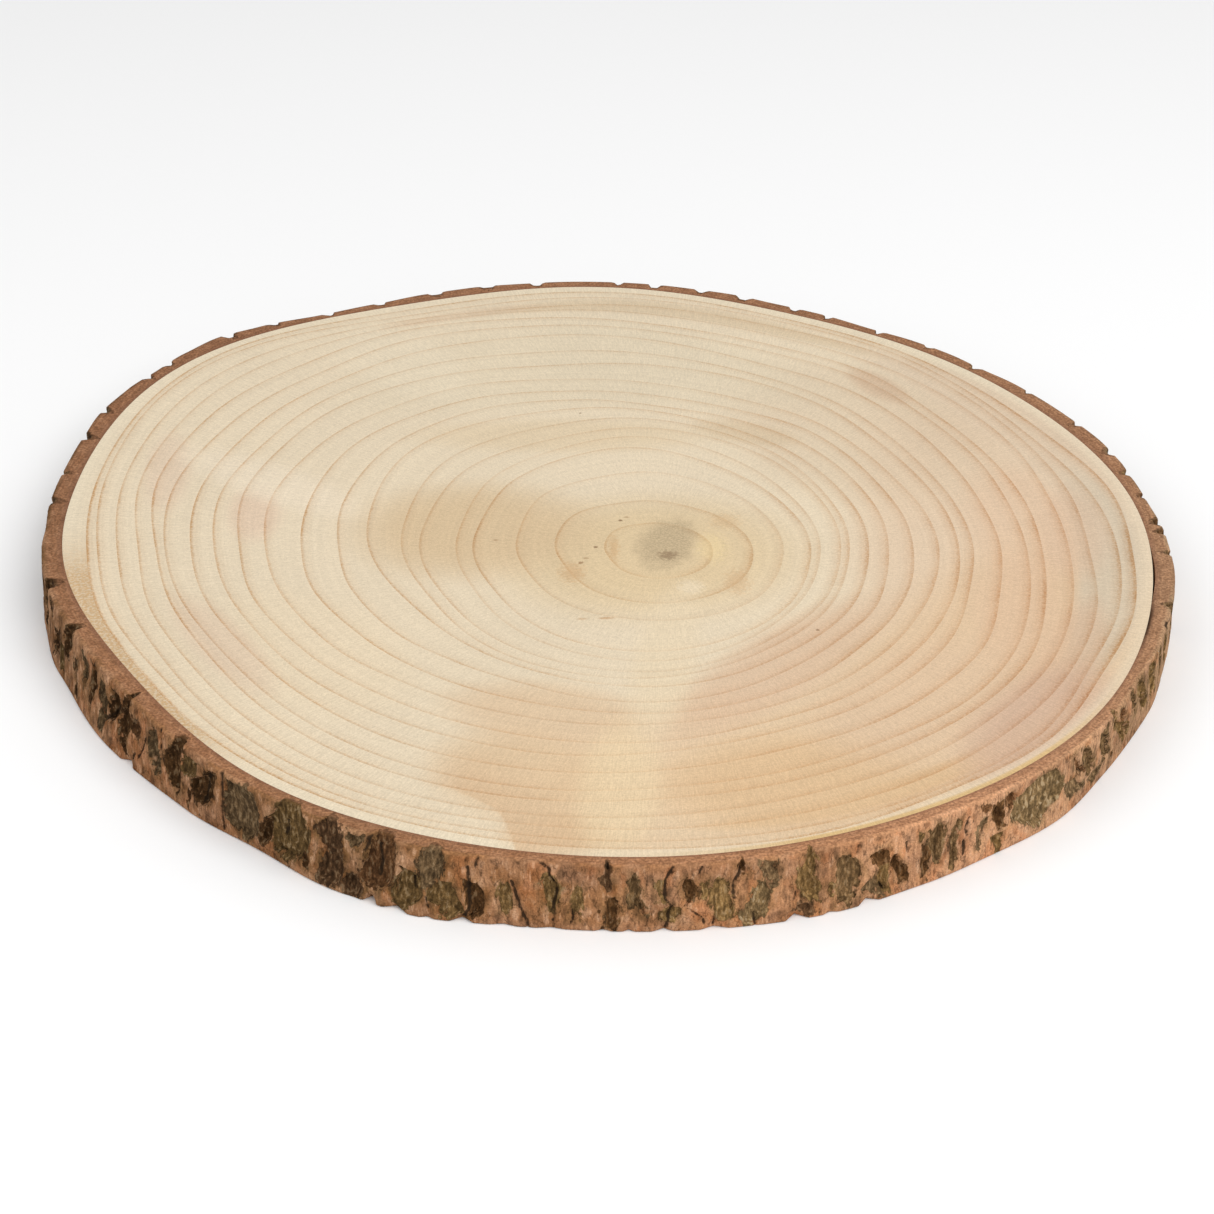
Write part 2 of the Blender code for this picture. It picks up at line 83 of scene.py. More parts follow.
# Furrows of the front half: depth, the tone of its floor, then how wide each is at some heights from
# its top down, as height, left bearing and right bearing. Bearings are degrees, all else is
# millimetres, and a furrow whose top is above 20 leaves the upper edge open.
FRONT_FURROWS = (
    (1.3, "brown", (17, -179, -177), (9, -179.5, -176.5), (1, -178.5, -177.5)),
    (1.5, "dark", (19, -172.5, -170.5), (10, -174.5, -171.5), (1, -175, -173)),
    (1.2, "brown", (17, -169.8, -168.6), (10, -170.5, -168.4), (3, -170, -169)),
    (2.0, "dark", (22, -166.6, -165), (18, -167.3, -164.6), (11, -167.6, -164.6), (6, -167.2, -165.6)),
    (1.0, "brown", (19, -163.6, -162.8), (15.5, -162.9, -162.2)),
    (2.0, "dark", (13.5, -161.2, -160), (9, -162, -159.8), (4.5, -161.9, -160.6),
     (3.5, -161.6, -161.2)),
    (1.4, "olive", (11, -159.6, -158.6), (6, -159.6, -158.2), (2.5, -158.9, -158.5)),
    (2.3, "dark", (22, -157, -156), (18, -157.9, -155.9), (15, -158.7, -155.8),
     (11.5, -158.2, -156.9), (9, -157.6, -157)),
    (1.6, "dark", (13, -155.3, -154.4), (9.5, -155, -153.9), (6.5, -154.7, -153.6),
     (3, -154.3, -153.7)),
    (1.5, "grey", (17.5, -152.6, -151.9), (13, -152.6, -151.2), (8.5, -151.9, -151.4)),
    (1.9, "dark", (18, -150.6, -149.6), (13.5, -150.4, -148.8), (9.5, -150, -149.4),
     (6, -149.9, -149.6)),
    (1.5, "grey", (17, -148.2, -147), (12, -148.3, -146.2), (7, -147.8, -146.4),
     (2.5, -147.3, -146.5)),
    (2.2, "dark", (17.5, -145.9, -144), (14, -146.2, -143), (10.5, -146.2, -144.2), (8, -146.1, -145),
     (6.3, -146.6, -146.3)),
    (2.3, "dark", (22, -142.4, -141.6), (17, -143.2, -141.8), (13, -143.6, -140.9),
     (9.5, -144, -141.6), (6.5, -143.2, -141.9), (2.5, -142, -141.6)),
    (1.2, "brown", (16, -141, -139.6), (13.5, -141.3, -139.3), (11, -140.6, -139.8)),
    (1.5, "grey", (18, -137.5, -136.9), (14, -138, -136), (10, -137.5, -135.6), (6.5, -136.9, -135.7),
     (4.8, -136.5, -136.2)),
    (2.3, "dark", (22, -133.2, -131.8), (18, -133.8, -131.9), (13, -134.9, -132.5),
     (10, -134.8, -132.4), (6, -133.8, -132.5), (3.5, -133, -132.7)),
    (1.2, "olive", (17.5, -131.4, -129.6), (14, -132.4, -129.8), (11.5, -132.2, -130.6),
     (10.5, -131.8, -131.2)),
    (2.3, "dark", (17.5, -128.3, -127.2), (14, -129.2, -127.3), (10.5, -130.8, -127.6),
     (7.5, -131, -128.3), (5.5, -129.9, -128.6), (4, -129.8, -129.5)),
    (1.3, "brown", (7, -131.4, -130.8), (4, -131.6, -130.9), (1.5, -131.3, -131.1)),
    (1.5, "grey", (19, -125.6, -122.2), (15, -125.8, -121.8), (10, -126.4, -121.9),
     (6, -126.2, -121.9), (3.5, -125, -122.6), (2, -124, -123.4)),
    (2.2, "dark", (13.5, -120.4, -119.6), (10, -121.3, -120), (6, -121.8, -120.4),
     (3.3, -121.6, -121.3)),
    (1.9, "olive", (22, -118.8, -117.4), (18, -119.5, -116.2), (12, -120.6, -115.6),
     (7, -120.4, -116.2), (3.5, -119.9, -117.4), (2.5, -119.2, -118)),
    (1.7, "dark", (8, -117, -116), (5.5, -117.2, -115.7), (3.2, -116.3, -116)),
    (1.9, "umber", (22, -114.5, -112.9), (18, -114.7, -112.5), (12, -114.4, -112.2),
     (7, -114.6, -112.2), (1.5, -115, -112.8)),
    (1.2, "grey", (19.3, -111.5, -110.2), (17.5, -111.7, -110.1), (15.5, -111.3, -110.4)),
    (2.1, "brown", (22, -109.6, -107.6), (16, -109.9, -106.9), (10, -110.4, -107.3),
     (6.5, -110.6, -107.9), (4.3, -109.9, -108.8)),
    (1.7, "umber", (6.5, -112, -111), (3.5, -112.6, -110.4), (0, -112, -110.6)),
    (1.9, "olive", (14, -107.2, -106.6), (12, -106.8, -105.2), (8, -107.5, -105), (5, -107.6, -105),
     (2, -107.3, -106), (0.5, -106.9, -106.5)),
    (1.5, "grey", (22, -104.5, -103), (18, -104.8, -102.8), (14, -104.9, -103), (10, -104.6, -103.4)),
    (1.7, "olive", (12, -103.8, -102.4), (9, -104, -101.8), (6, -104.3, -101.4),
     (3.5, -103.8, -101.2), (1, -103.6, -102.6)),
    (1.9, "dark", (12.5, -101.1, -100), (9, -101, -99.4), (6, -101, -99.3), (3.5, -100.8, -99.8),
     (1.5, -101.3, -100.9)),
    (1.2, "olive", (12.5, -98.3, -97.5), (9.5, -98.6, -97.1), (7, -98.2, -97), (4, -98.1, -97.6)),
    (1.4, "olive", (16, -94.6, -93.6), (13.5, -95, -93.4), (10, -94.6, -93.2), (5, -94.4, -93.7)),
    (1.0, "olive", (13, -91.9, -91.5), (8, -92.4, -91.6), (3, -92.5, -91.8)),
    (1.7, "umber", (22, -89.7, -89), (16, -89.8, -88.9), (11, -89.6, -88.9)),
    (1.6, "dark", (10.8, -89.5, -88.7), (7, -89.6, -88.1), (4, -89.5, -88.3), (1, -89.5, -88.9)),
    (1.8, "slate", (17.8, -87.3, -86.9), (15, -87.6, -86.7), (11, -87.7, -86.5), (7.5, -87.3, -86.3),
     (4.5, -86.7, -86.3)),
    (1.2, "olive", (15, -85.3, -84.8), (12, -85.4, -84.7), (9, -85.2, -84.8)),
    (1.5, "dark", (15.5, -83.2, -82.6), (13, -83.5, -82.2), (10, -82.9, -82.2), (7, -83.4, -82.9)),
    (1.4, "olive", (7.5, -84.1, -83.2), (5, -85.2, -83), (3, -84.9, -83.3)),
    (1.0, "olive", (15.5, -81.5, -81.2), (13, -81.9, -81.3), (11, -81.6, -81.4)),
    (1.6, "dark", (22, -78.5, -78.1), (17.5, -79, -77.9), (15.5, -78.6, -78.1)),
    (1.2, "olive", (15, -80.7, -79.6), (11, -81, -79), (7, -80.8, -79), (3.5, -80.2, -79.3)),
    (1.6, "grey", (19, -76.7, -75.5), (16, -77, -75.1), (13, -76.4, -75.2), (11.5, -75.9, -75.5)),
    (1.4, "lichen", (13, -77, -76.2), (10, -77.8, -75.9), (5, -78.3, -76.2), (0.5, -78.4, -76.8)),
    (1.9, "olive", (22, -72.8, -72.2), (17, -73.2, -72), (12, -73.9, -72.2), (8, -73.6, -71.8),
     (5, -72.9, -72)),
    (1.6, "umber", (4.5, -73.9, -72.8), (2.5, -74, -72.3), (0.5, -73, -72.4)),
    (1.9, "slate", (16.2, -70.2, -69.6), (14, -70.5, -68.4), (11, -70.3, -67.8), (8, -70.2, -67.8),
     (5, -70.4, -68.3), (1, -70.4, -69.2)),
    (1.2, "olive", (8.5, -71.2, -70.6), (5, -71.3, -70.6)),
    (1.7, "grey", (7.5, -67.5, -66.6), (5, -68.3, -66.2), (2, -68.1, -66), (0.5, -66.8, -65.7)),
    (1.8, "dark", (16.3, -66.2, -65.8), (14.2, -67.6, -65.7), (12.5, -67, -65.7),
     (10.8, -66.2, -65.8)),
    (1.6, "olive", (10.5, -66.2, -65.6), (7.5, -66.8, -65.9), (4, -66.6, -65.7), (1, -66, -65.3)),
    (1.9, "dark", (13, -65.3, -64.9), (10, -65.6, -64.4), (7, -65.1, -63.7), (3.5, -64.5, -63.8)),
    (1.8, "slate", (18.3, -60.9, -60.1), (15, -61.7, -60), (12, -61.9, -60.2), (8, -61.2, -60.3),
     (5.5, -61, -60.7)),
    (1.4, "dark", (12, -62, -61.6), (9, -62.1, -61.5), (5.5, -62.2, -61.6), (2.5, -62.3, -62.1)),
    (1.0, "olive", (16.3, -62.5, -62.1), (15, -62.6, -62.2)),
    (1.3, "slate", (17, -58.9, -58.5), (14.5, -59.3, -58.4), (11, -59.6, -58.9), (8, -59.3, -58.8),
     (5, -59.5, -58.6), (2, -59.6, -59.1)),
    (1.4, "brown", (17.8, -56.2, -55.5), (16, -56.1, -55.4)),
    (1.4, "grey", (14.5, -56, -55.4), (12, -56.3, -55.5), (8.5, -56.5, -55.9), (4.5, -56.5, -56.2)),
    (1.8, "dark", (17, -54.9, -54), (14, -55.2, -53.9), (11.5, -54.8, -53.6), (8, -54.2, -53.2)),
    (1.6, "olive", (7, -55.2, -53.2), (4.5, -54.8, -53.3), (2, -54.2, -53.8), (0, -54.1, -53.9)),
    (1.5, "brown", (18.5, -53.3, -52.8), (16.5, -53.6, -52.3), (13, -53.2, -52.2)),
    (1.6, "lichen", (18, -49.8, -47.6), (15, -52.4, -46.4), (11, -53, -46.2), (8, -52.6, -47.2),
     (5, -50.6, -48), (3, -50, -49)),
    (1.3, "brown", (18.5, -45.2, -44.6), (14, -44.6, -43.8), (11, -44.4, -43)),
    (1.5, "slate", (18.3, -43.8, -43), (15, -43.5, -42), (11.5, -42.8, -41.4), (8.5, -42.6, -41.2)),
    (1.3, "grey", (11, -46, -43.6), (8, -46, -43.4), (5.5, -45.2, -42.8)),
    (1.5, "slate", (17.5, -40.6, -39.4), (14, -40.6, -38.6), (10.5, -39.8, -38), (7, -39, -37.8)),
    (1.2, "grey", (7.5, -41.8, -39.6), (4.5, -42, -39.8), (2.5, -41.4, -40.4)),
    (1.9, "olive", (22, -38.2, -37.5), (16, -37.9, -37), (12.5, -37, -35.4), (9, -35.8, -33.4),
     (6.5, -35, -33), (4.5, -34.4, -34)),
    (1.4, "brown", (19, -36.8, -36.2), (16, -36.4, -35.2), (13, -35.6, -34.2)),
    (1.3, "dark", (6.5, -37.6, -36.8), (5, -37.4, -36.8)),
    (1.4, "slate", (19.5, -34, -33.2), (16, -33.4, -32.4), (12, -32.4, -31.6), (9, -31.8, -31.4)),
    (1.3, "olive", (19, -32, -30.6), (15, -31.6, -29.6), (10, -30.4, -28.8), (6, -29.6, -28.6)),
    (1.3, "olive", (19, -28.6, -27.2), (13, -28.2, -26.4), (7, -27.2, -26)),
    (1.5, "slate", (19, -25.6, -24.6), (13, -25, -23.4), (6, -24, -22.6)),
    (1.3, "olive", (18, -22.2, -21.2), (12, -21.8, -20), (5, -20.4, -19.4)),
    (1.6, "slate", (22, -18.6, -17.6), (13, -17.8, -16), (5, -16.6, -15.6)),
    (1.6, "brown", (17, -13.4, -12.4), (10, -13, -11), (1, -11.8, -10.8)),
    (1.5, "slate", (22, -8.4, -7.2), (14, -7.8, -6.4), (8, -7.2, -6.6)),
    (2.2, "dark", (22, -4.4, -3), (16, -4, -2.6), (11, -3.4, -3)),
)
FOOT_NOTCHES = (
    (-141.6, 1.1, 2.4), (-109.7, 0.7, 3.4), (-107.3, 1.2, 2.2), (-104.4, 0.6, 0.8),
    (-101.5, 1.0, 2.2), (-98, 1.2, 0.8), (-94, 1.2, 0.7), (-89.7, 0.7, 0.8), (-87.6, 0.5, 0.9),
    (-84.8, 0.9, 1.2), (-80.6, 1.2, 1.4), (-73.7, 1.0, 2.6), (-70.8, 0.7, 0.8), (-67.3, 1.0, 2.2),
)
CHIP_HEIGHT = 0.0035
BACK_NOTCHES = (
    (-1.5, 2.0), (4, 1.4), (9, 1.7), (14, 1.6), (21, 1.6), (30, 1.3), (38.5, 2.1), (46, 1.3),
    (53, 2.5), (60.5, 2.5), (65, 2.2), (72, 2.6), (77.5, 2.3), (83.5, 2.8), (88, 2.4),
    (98, 2.4), (104, 1.3), (110.5, 1.7), (117.5, 1.6), (124, 2.1), (130.5, 1.6), (136, 3.0),
    (145, 1.9), (148.5, 2.4), (157, 2.2), (163, 2.5), (171, 1.4), (177, 1.2),
)
BACK_SEED = 12
NOTCH_TOP = 22
NARROW_GAP = 7
WALL_WIDTH = 1.2
BACK_TONES = ("dark", "olive", "brown", "slate", "olive", "dark", "grey")

# Narrow cracks of the bark's side: how wide each is, then places along it as bearing and height, in
# millimetres. The widest one is a break at the right.
CRACKS = (
    (0.5, (-138.5, 12.5), (-138.7, 9), (-139.4, 6.5), (-139.8, 4.5)),
    (0.6, (-140.4, 5), (-140.8, 2)),
    (0.6, (-135.7, 20.5), (-135.6, 17), (-135.7, 13)),
    (0.9, (-126.1, 20.5), (-126.3, 17), (-126.4, 13)),
    (0.5, (-126.4, 13), (-126.6, 8), (-126.6, 1)),
    (0.6, (-118.5, 14), (-118.6, 11), (-119.0, 9)),
    (0.7, (-116.8, 20.5), (-116.5, 18), (-116.5, 15.5)),
    (0.6, (-109.6, 20.5), (-109.8, 17), (-110.1, 15)),
    (0.8, (-108.8, 17), (-108.7, 13), (-108.9, 8)),
    (0.7, (-105.8, 12.5), (-105.5, 10), (-105.6, 7)),
    (0.5, (-104.5, 6), (-104.4, 3)),
    (0.6, (-100.0, 19.5), (-100.2, 17)),
    (0.7, (-100.9, 16.5), (-100.8, 13), (-100.9, 9), (-100.8, 5), (-101.4, 1)),
    (0.6, (-97.3, 13.5), (-97.0, 11), (-96.7, 8), (-96.3, 4), (-95.9, 0.5)),
    (0.6, (-94.9, 20), (-94.1, 18), (-94.0, 15.5), (-93.5, 12), (-93.7, 8), (-93.9, 2)),
    (0.4, (-92.3, 7), (-92.2, 4), (-92.3, 2)),
    (0.6, (-89.5, 20), (-89.3, 18)),
    (0.6, (-84.0, 20), (-84.6, 15.5), (-84.7, 10), (-84.1, 7.5), (-84.4, 3), (-84.6, 0.5)),
    (0.4, (-82.8, 6.8), (-82.2, 5.5), (-81.7, 4), (-81.5, 2)),
    (0.5, (-81.7, 19), (-82.0, 16.5)),
    (0.5, (-80.7, 4), (-80.7, 1)),
    (0.6, (-78.6, 17), (-79.1, 14), (-79.1, 11), (-79.0, 9)),
    (0.5, (-77.3, 3), (-77.2, 0.5)),
    (0.5, (-73.9, 8.5), (-74.0, 6.5)),
    (0.4, (-68.5, 18.5), (-68.5, 16.5)),
    (0.5, (-66.2, 4), (-65.8, 2)),
    (0.5, (-63.9, 15.5), (-63.8, 12)),
    (0.6, (-57.6, 16), (-57.9, 13), (-57.6, 10)),
    (0.7, (-58.0, 9), (-57.9, 4.5)),
    (0.7, (-54.4, 15), (-54.3, 12.5)),
    (2.4, (-21.2, 20.5), (-20.8, 18.5), (-20.0, 17)),
    (0.5, (-45.9, 10), (-45.7, 8)),
    (0.6, (-163.3, 19), (-162.3, 15.5)),
    (0.6, (-160.2, 13), (-160.6, 9)),
    (0.6, (-158.6, 10), (-158.5, 3)),
    (0.7, (-155.1, 12), (-154.2, 7)),
    (0.8, (-145.4, 14), (-145.4, 10), (-146.4, 7)),
    (0.6, (-142.1, 20.5), (-142.2, 17)),
    (0.6, (-132.4, 17), (-132.8, 10), (-132.8, 5)),
    (0.7, (-128.6, 15), (-129.4, 9), (-129.5, 5)),
)


def eased(share):
    return share * share * (3 - 2 * share)


def smooth_step(value, low, high):
    return eased(np.clip((value - low) / (high - low), 0, 1))


def step_along(bearing):
    """How far a step of 1 along a bearing goes in X and in Y."""
    return np.cos(np.radians(bearing)), np.sin(np.radians(bearing))


def turn_from(middle, bearing):
    """Degrees from a middle to a bearing, the short way round."""
    return (bearing - middle + 180) % 360 - 180


def bump(bearing, middle, half_width):
    """A smooth hump, 1 at the middle and 0 from the half width out."""
    away = np.abs(turn_from(middle, bearing)) / half_width
    return np.where(away < 1, np.cos(away * math.pi / 2) ** 2, 0.0)


def lobed_radius(bearing, swollen=True):
    """Radius of the wood at a bearing in degrees."""
    radius = WOOD_RADIUS + np.zeros_like(bearing)
    for order, height, crest in OUTLINE_LOBES:
        radius = radius + height * np.cos(np.radians(order * (bearing - crest)))
    middle, half_width, height = WOOD_SWELLING
    return radius + height * bump(bearing, middle, half_width) if swollen else radius


def eased_round(bearing, stated):
    """Values stated at some bearings, eased between them all the way round."""
    known = np.array(stated)
    bearings, values = np.concatenate((known[-1:] - (360, 0), known, known[:1] + (360, 0))).T
    wrapped = turn_from(0, bearing)
    after = np.clip(np.searchsorted(bearings, wrapped), 1, len(bearings) - 1)
    share = eased((wrapped - bearings[after - 1]) / (bearings[after] - bearings[after - 1]))
    return values[after - 1] * (1 - share) + values[after] * share


def patchy(across, along, cells_round, seed):
    """Smooth random values from -1 to 1 at points given in cells, joined up after one round."""
    lattice = np.random.default_rng(seed).uniform(-1, 1, (cells_round, int(along.max()) + 3))
    left = np.floor(across).astype(int)
    low = np.clip(np.floor(along).astype(int), 0, lattice.shape[1] - 2)
    sideways = eased(across - left)
    upward = eased(along - low)
    here, beside = (
        lattice[side % cells_round, low] * (1 - upward) + lattice[side % cells_round, low + 1] * upward
        for side in (left, left + 1)
    )
    return here * (1 - sideways) + beside * sideways


def linear(red, green, blue):
    """A colour as seen on a screen, 0 to 255, in the renderer's own scale."""
    seen = np.array((red, green, blue)) / 255
    return np.where(seen <= 0.04045, seen / 12.92, ((seen + 0.055) / 1.055) ** 2.4)


def mixed(first, second, share):
    share = np.asarray(share)[..., None]
    return first * (1 - share) + second * share


def middle_of_outline():
    """Middle of the wood's box when its own middle is at the origin."""
    bearing = np.arange(0, 360, 0.5)
    x, y = lobed_radius(bearing) * np.array(step_along(bearing))
    return (x.max() + x.min()) / 2, (y.max() + y.min()) / 2


low_corner, high_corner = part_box("wood")
outline_middle = middle_of_outline()
WOOD_X = (low_corner[0] + high_corner[0]) / 2 - outline_middle[0]
WOOD_Y = (low_corner[1] + high_corner[1]) / 2 - outline_middle[1]


def band_faces(rows, columns):
    """Faces between each row of points and the next, and last between the last row and the first."""
    faces = []
    for index in range(rows):
        first = index * columns
        above = (index + 1) % rows * columns
        for column in range(columns):
            after = (column + 1) % columns
            faces.append((first + column, first + after, above + after, above + column))
    return faces


def mesh_object(name, points, faces):
    mesh = bpy.data.meshes.new(name)
    mesh.from_pydata(points.reshape(-1, 3).tolist(), [], faces)
    mesh.update()
    made = bpy.data.objects.new(name, mesh)
    bpy.context.scene.collection.objects.link(made)
    mesh.shade_smooth()
    return made


def give_colour(mesh, name, colours):
    layer = mesh.attributes.new(name, "FLOAT_COLOR", "POINT")
    full = np.concatenate((colours.reshape(-1, 3), np.ones((colours.size // 3, 1))), axis=1)
    layer.data.foreach_set("color", full.astype(np.float32).ravel())


def give_value(mesh, name, values):
    layer = mesh.attributes.new(name, "FLOAT", "POINT")
    layer.data.foreach_set("value", np.asarray(values, np.float32).ravel())


# Wood: the pith, in metres from the wood's middle
PITH = (0.0190, -0.0203)
COLUMNS = 360
# Rings read off a view of the top unrolled round the pith, from the bark inwards. Each line
# is one bearing, every 15 degrees from 0, and a ring's place is a row counted down from the bark.
UNROLLED_ROWS = 899
UNROLLED_REACH = 1.06
RINGS = (
    (81, 106, 156, 191, 238, 265, 310, 358, 383, 418, 463, 506, 542, 575, 591, 625, 642, 688),
    (77, 115, 152, 192, 239, 270, 317, 363, 387, 424, 465, 504, 541, 574, 589, 628, 645, 696),
    (92, 123, 143, 171, 231, 255, 306, 359, 384, 426, 462, 497, 535, 567, 582, 624, 649, 693),
    (87, 109, 126, 157, 217, 239, 284, 341, 370, 414, 447, 485, 526, 556, 573, 618, 642, 692),
    (74, 87, 106, 146, 184, 211, 261, 314, 341, 397, 431, 472, 509, 531, 554, 604, 638, 688),
    (72, 86, 111, 145, 182, 209, 257, 300, 326, 397, 435, 467, 492, 516, 539, 580, 623, 684),
    (69, 88, 114, 144, 181, 207, 242, 294, 332, 397, 438, 472, 497, 519, 546, 573, 610, 680),
    (69, 91, 120, 132, 159, 188, 225, 284, 332, 382, 422, 452, 478, 518, 554, 579, 610, 689),
    (70, 89, 105, 120, 139, 173, 217, 266, 309, 355, 398, 433, 465, 517, 558, 590, 615, 686),
    (64, 77, 108, 137, 175, 213, 248, 282, 314, 366, 406, 445, 479, 533, 572, 612, 642, 692),
    (71, 80, 113, 143, 175, 213, 250, 286, 314, 358, 401, 448, 482, 541, 575, 621, 648, 702),
    (76, 87, 115, 139, 164, 192, 231, 263, 295, 337, 392, 440, 482, 537, 567, 618, 642, 698),
    (78, 93, 121, 151, 176, 189, 226, 259, 295, 332, 383, 436, 482, 527, 552, 604, 628, 689),
    (55, 71, 99, 126, 158, 176, 209, 244, 275, 317, 364, 417, 471, 512, 533, 585, 609, 678),
    (57, 77, 95, 125, 157, 180, 215, 247, 283, 323, 373, 418, 481, 509, 530, 574, 605, 670),
    (66, 82, 102, 129, 162, 187, 227, 266, 305, 350, 390, 438, 486, 502, 525, 567, 596, 670),
    (67, 81, 101, 127, 163, 189, 232, 276, 314, 360, 399, 444, 483, 496, 519, 552, 580, 666),
    (67, 84, 109, 132, 169, 195, 240, 282, 318, 366, 401, 434, 475, 494, 515, 547, 573, 670),
    (66, 83, 112, 144, 185, 212, 255, 302, 329, 374, 402, 433, 471, 498, 513, 544, 575, 666),
    (60, 79, 112, 152, 191, 218, 269, 316, 346, 382, 411, 447, 484, 517, 532, 558, 583, 666),
    (71, 82, 116, 156, 197, 225, 272, 321, 353, 392, 426, 470, 513, 540, 560, 584, 598, 664),
    (70, 87, 129, 169, 202, 226, 281, 333, 368, 407, 447, 487, 521, 552, 571, 604, 615, 670),
    (86, 109, 134, 170, 206, 235, 285, 342, 375, 416, 453, 490, 526, 562, 576, 615, 629, 682),
    (75, 101, 137, 178, 224, 251, 303, 355, 378, 416, 456, 500, 538, 573, 587, 622, 638, 687),
)
# How many of the rings, from the bark inwards, are drawn as read. The rest are evened out round the
# pith, where one is less clear.
CLEAR_RINGS = 12
# The two innermost rings: the row at its middle, and how much it swings towards the back
INMOST_RINGS = ((744, 24), (814, 16))
# How dark each ring's line is, from the bark inwards, and how that changes round the pith
RING_STRENGTH = (
    1.2, 0.85, 0.75, 0.65, 0.85, 0.75, 0.8, 0.7, 0.75, 0.65, 0.85, 0.75, 0.8, 0.6, 0.6, 0.5,
    0.75, 0.5, 0.75, 0.6,
)
RING_CLARITY = (
    (-165, 0.9), (-135, 0.72), (-112, 0.55), (-102, 0.38), (-92, 0.38), (-75, 0.6), (-45, 0.85),
    (-10, 1.0), (30, 0.9), (60, 0.75), (90, 0.65), (120, 0.65), (150, 0.8), (175, 1.0),
)
# Places inside one ring where rows of points lie, as shares from its inner line to its outer one
ROWS_IN_RING = (0.02, 0.18, 0.36, 0.54, 0.70, 0.84, 0.94, 1.0)
UNDERSIDE_ROWS = 3

CREAM = linear(221, 204, 176)
# Broad tints of the sawn face that follow its rings: bearing round the pith, half width in degrees,
# row, half height in rows, colour and strength
TINTS = (
    (0, 60, 260, 380, (217, 192, 163), 0.9),
    (-42, 56, 200, 330, (215, 186, 151), 0.9),
    (-85, 26, 180, 330, (217, 190, 155), 0.8),
    (-20, 24, 210, 130, (212, 180, 146), 0.4),
    (8, 22, 260, 120, (214, 182, 151), 0.5),
    (48, 36, 380, 260, (211, 189, 160), 0.5),
    (30, 40, 125, 80, (212, 190, 163), 0.8),
    (-6, 32, 120, 70, (203, 188, 164), 0.8),
    (85, 30, 122, 30, (206, 184, 151), 0.7),
    (112, 12, 118, 18, (204, 175, 143), 0.4),
    (100, 45, 330, 180, (216, 201, 173), 0.5),
    (-150, 22, 300, 140, (224, 205, 174), 0.5),
    (125, 8, 250, 180, (224, 209, 182), 0.5),
    (-65, 26, 112, 28, (208, 172, 127), 0.6),
    (-30, 20, 150, 60, (205, 171, 140), 0.55),
)
# Tints that lie across the rings: middle, half length and half width in millimetres from the wood's
# middle, bearing of their length, colour and strength
BLOTCHES = (
    (-18, -136, 32, 24, -23, (212, 182, 144), 0.8),
    (-11, -162, 16, 12, 0, (207, 173, 133), 0.7),
    (-14, -108, 34, 18, -12, (212, 182, 146), 0.7),
    (50, -84, 56, 17, 48, (209, 177, 146), 0.75),
    (-13, 52, 56, 14, 0, (212, 190, 155), 0.6),
    (49, -138, 44, 24, 9, (212, 179, 138), 0.85),
    (89, -101, 44, 28, 44, (212, 183, 152), 0.6),
    (118, -113, 40, 20, 54, (200, 168, 143), 0.8),
    (15, -24, 54, 42, 6, (213, 189, 149), 0.9),
    (-39, -9, 44, 34, 0, (208, 182, 144), 0.9),
    (5, -142, 36, 13, -95, (222, 198, 160), 0.8),
    (18, -82, 46, 11, -98, (222, 203, 171), 0.7),
    (94, 88, 18, 8, -58, (202, 174, 144), 0.8),
    (47, 54, 22, 9, -20, (205, 182, 148), 0.6),
    (-107, 1, 21, 10, -83, (213, 184, 159), 0.6),
    (-138, 28, 31, 9, -84, (214, 187, 162), 0.5),
    (-107, -73, 35, 10, -57, (213, 186, 160), 0.5),
    (-105, 21, 42, 13, -35, (228, 212, 187), 0.7),
    (144, -10, 34, 13, -98, (211, 181, 152), 0.6),
    (120, -55, 38, 16, -95, (213, 181, 149), 0.6),
)
# A lobe of cream sapwood at the front with a sharp end: middle and half widths in metres from the
# wood's middle, and the tan beside it
SAPWOOD_LOBE = (-0.0460, -0.1680, 0.0245, 0.0270)
SAPWOOD_SIDE = (208, 178, 142)
# Outermost wood: a rough golden band at the left, a smooth one at the front right
GOLDEN_LEFT = (-159, 27, (188, 150, 102))
GOLDEN_RIGHT = (-62, 36, (210, 177, 124))
GOLDEN_DEPTH = 60
# Pale rim beside the bark: colour, strength and the rows between which it fades
PALE_RIM = (225, 211, 184)
PALE_RIM_STRENGTH = 0.45
PALE_RIM_ROWS = (56, 80)
# Grey oval stain round the pith: middle and half widths in metres from the wood's middle, how far it
# leans, its colour and its strength
PITH_STAIN = (0.0200, -0.0178, 0.0112, 0.0190)
STAIN_LEAN = 0.12
STAIN_GREY = (142, 124, 96)
STAIN_STRENGTH = 0.44
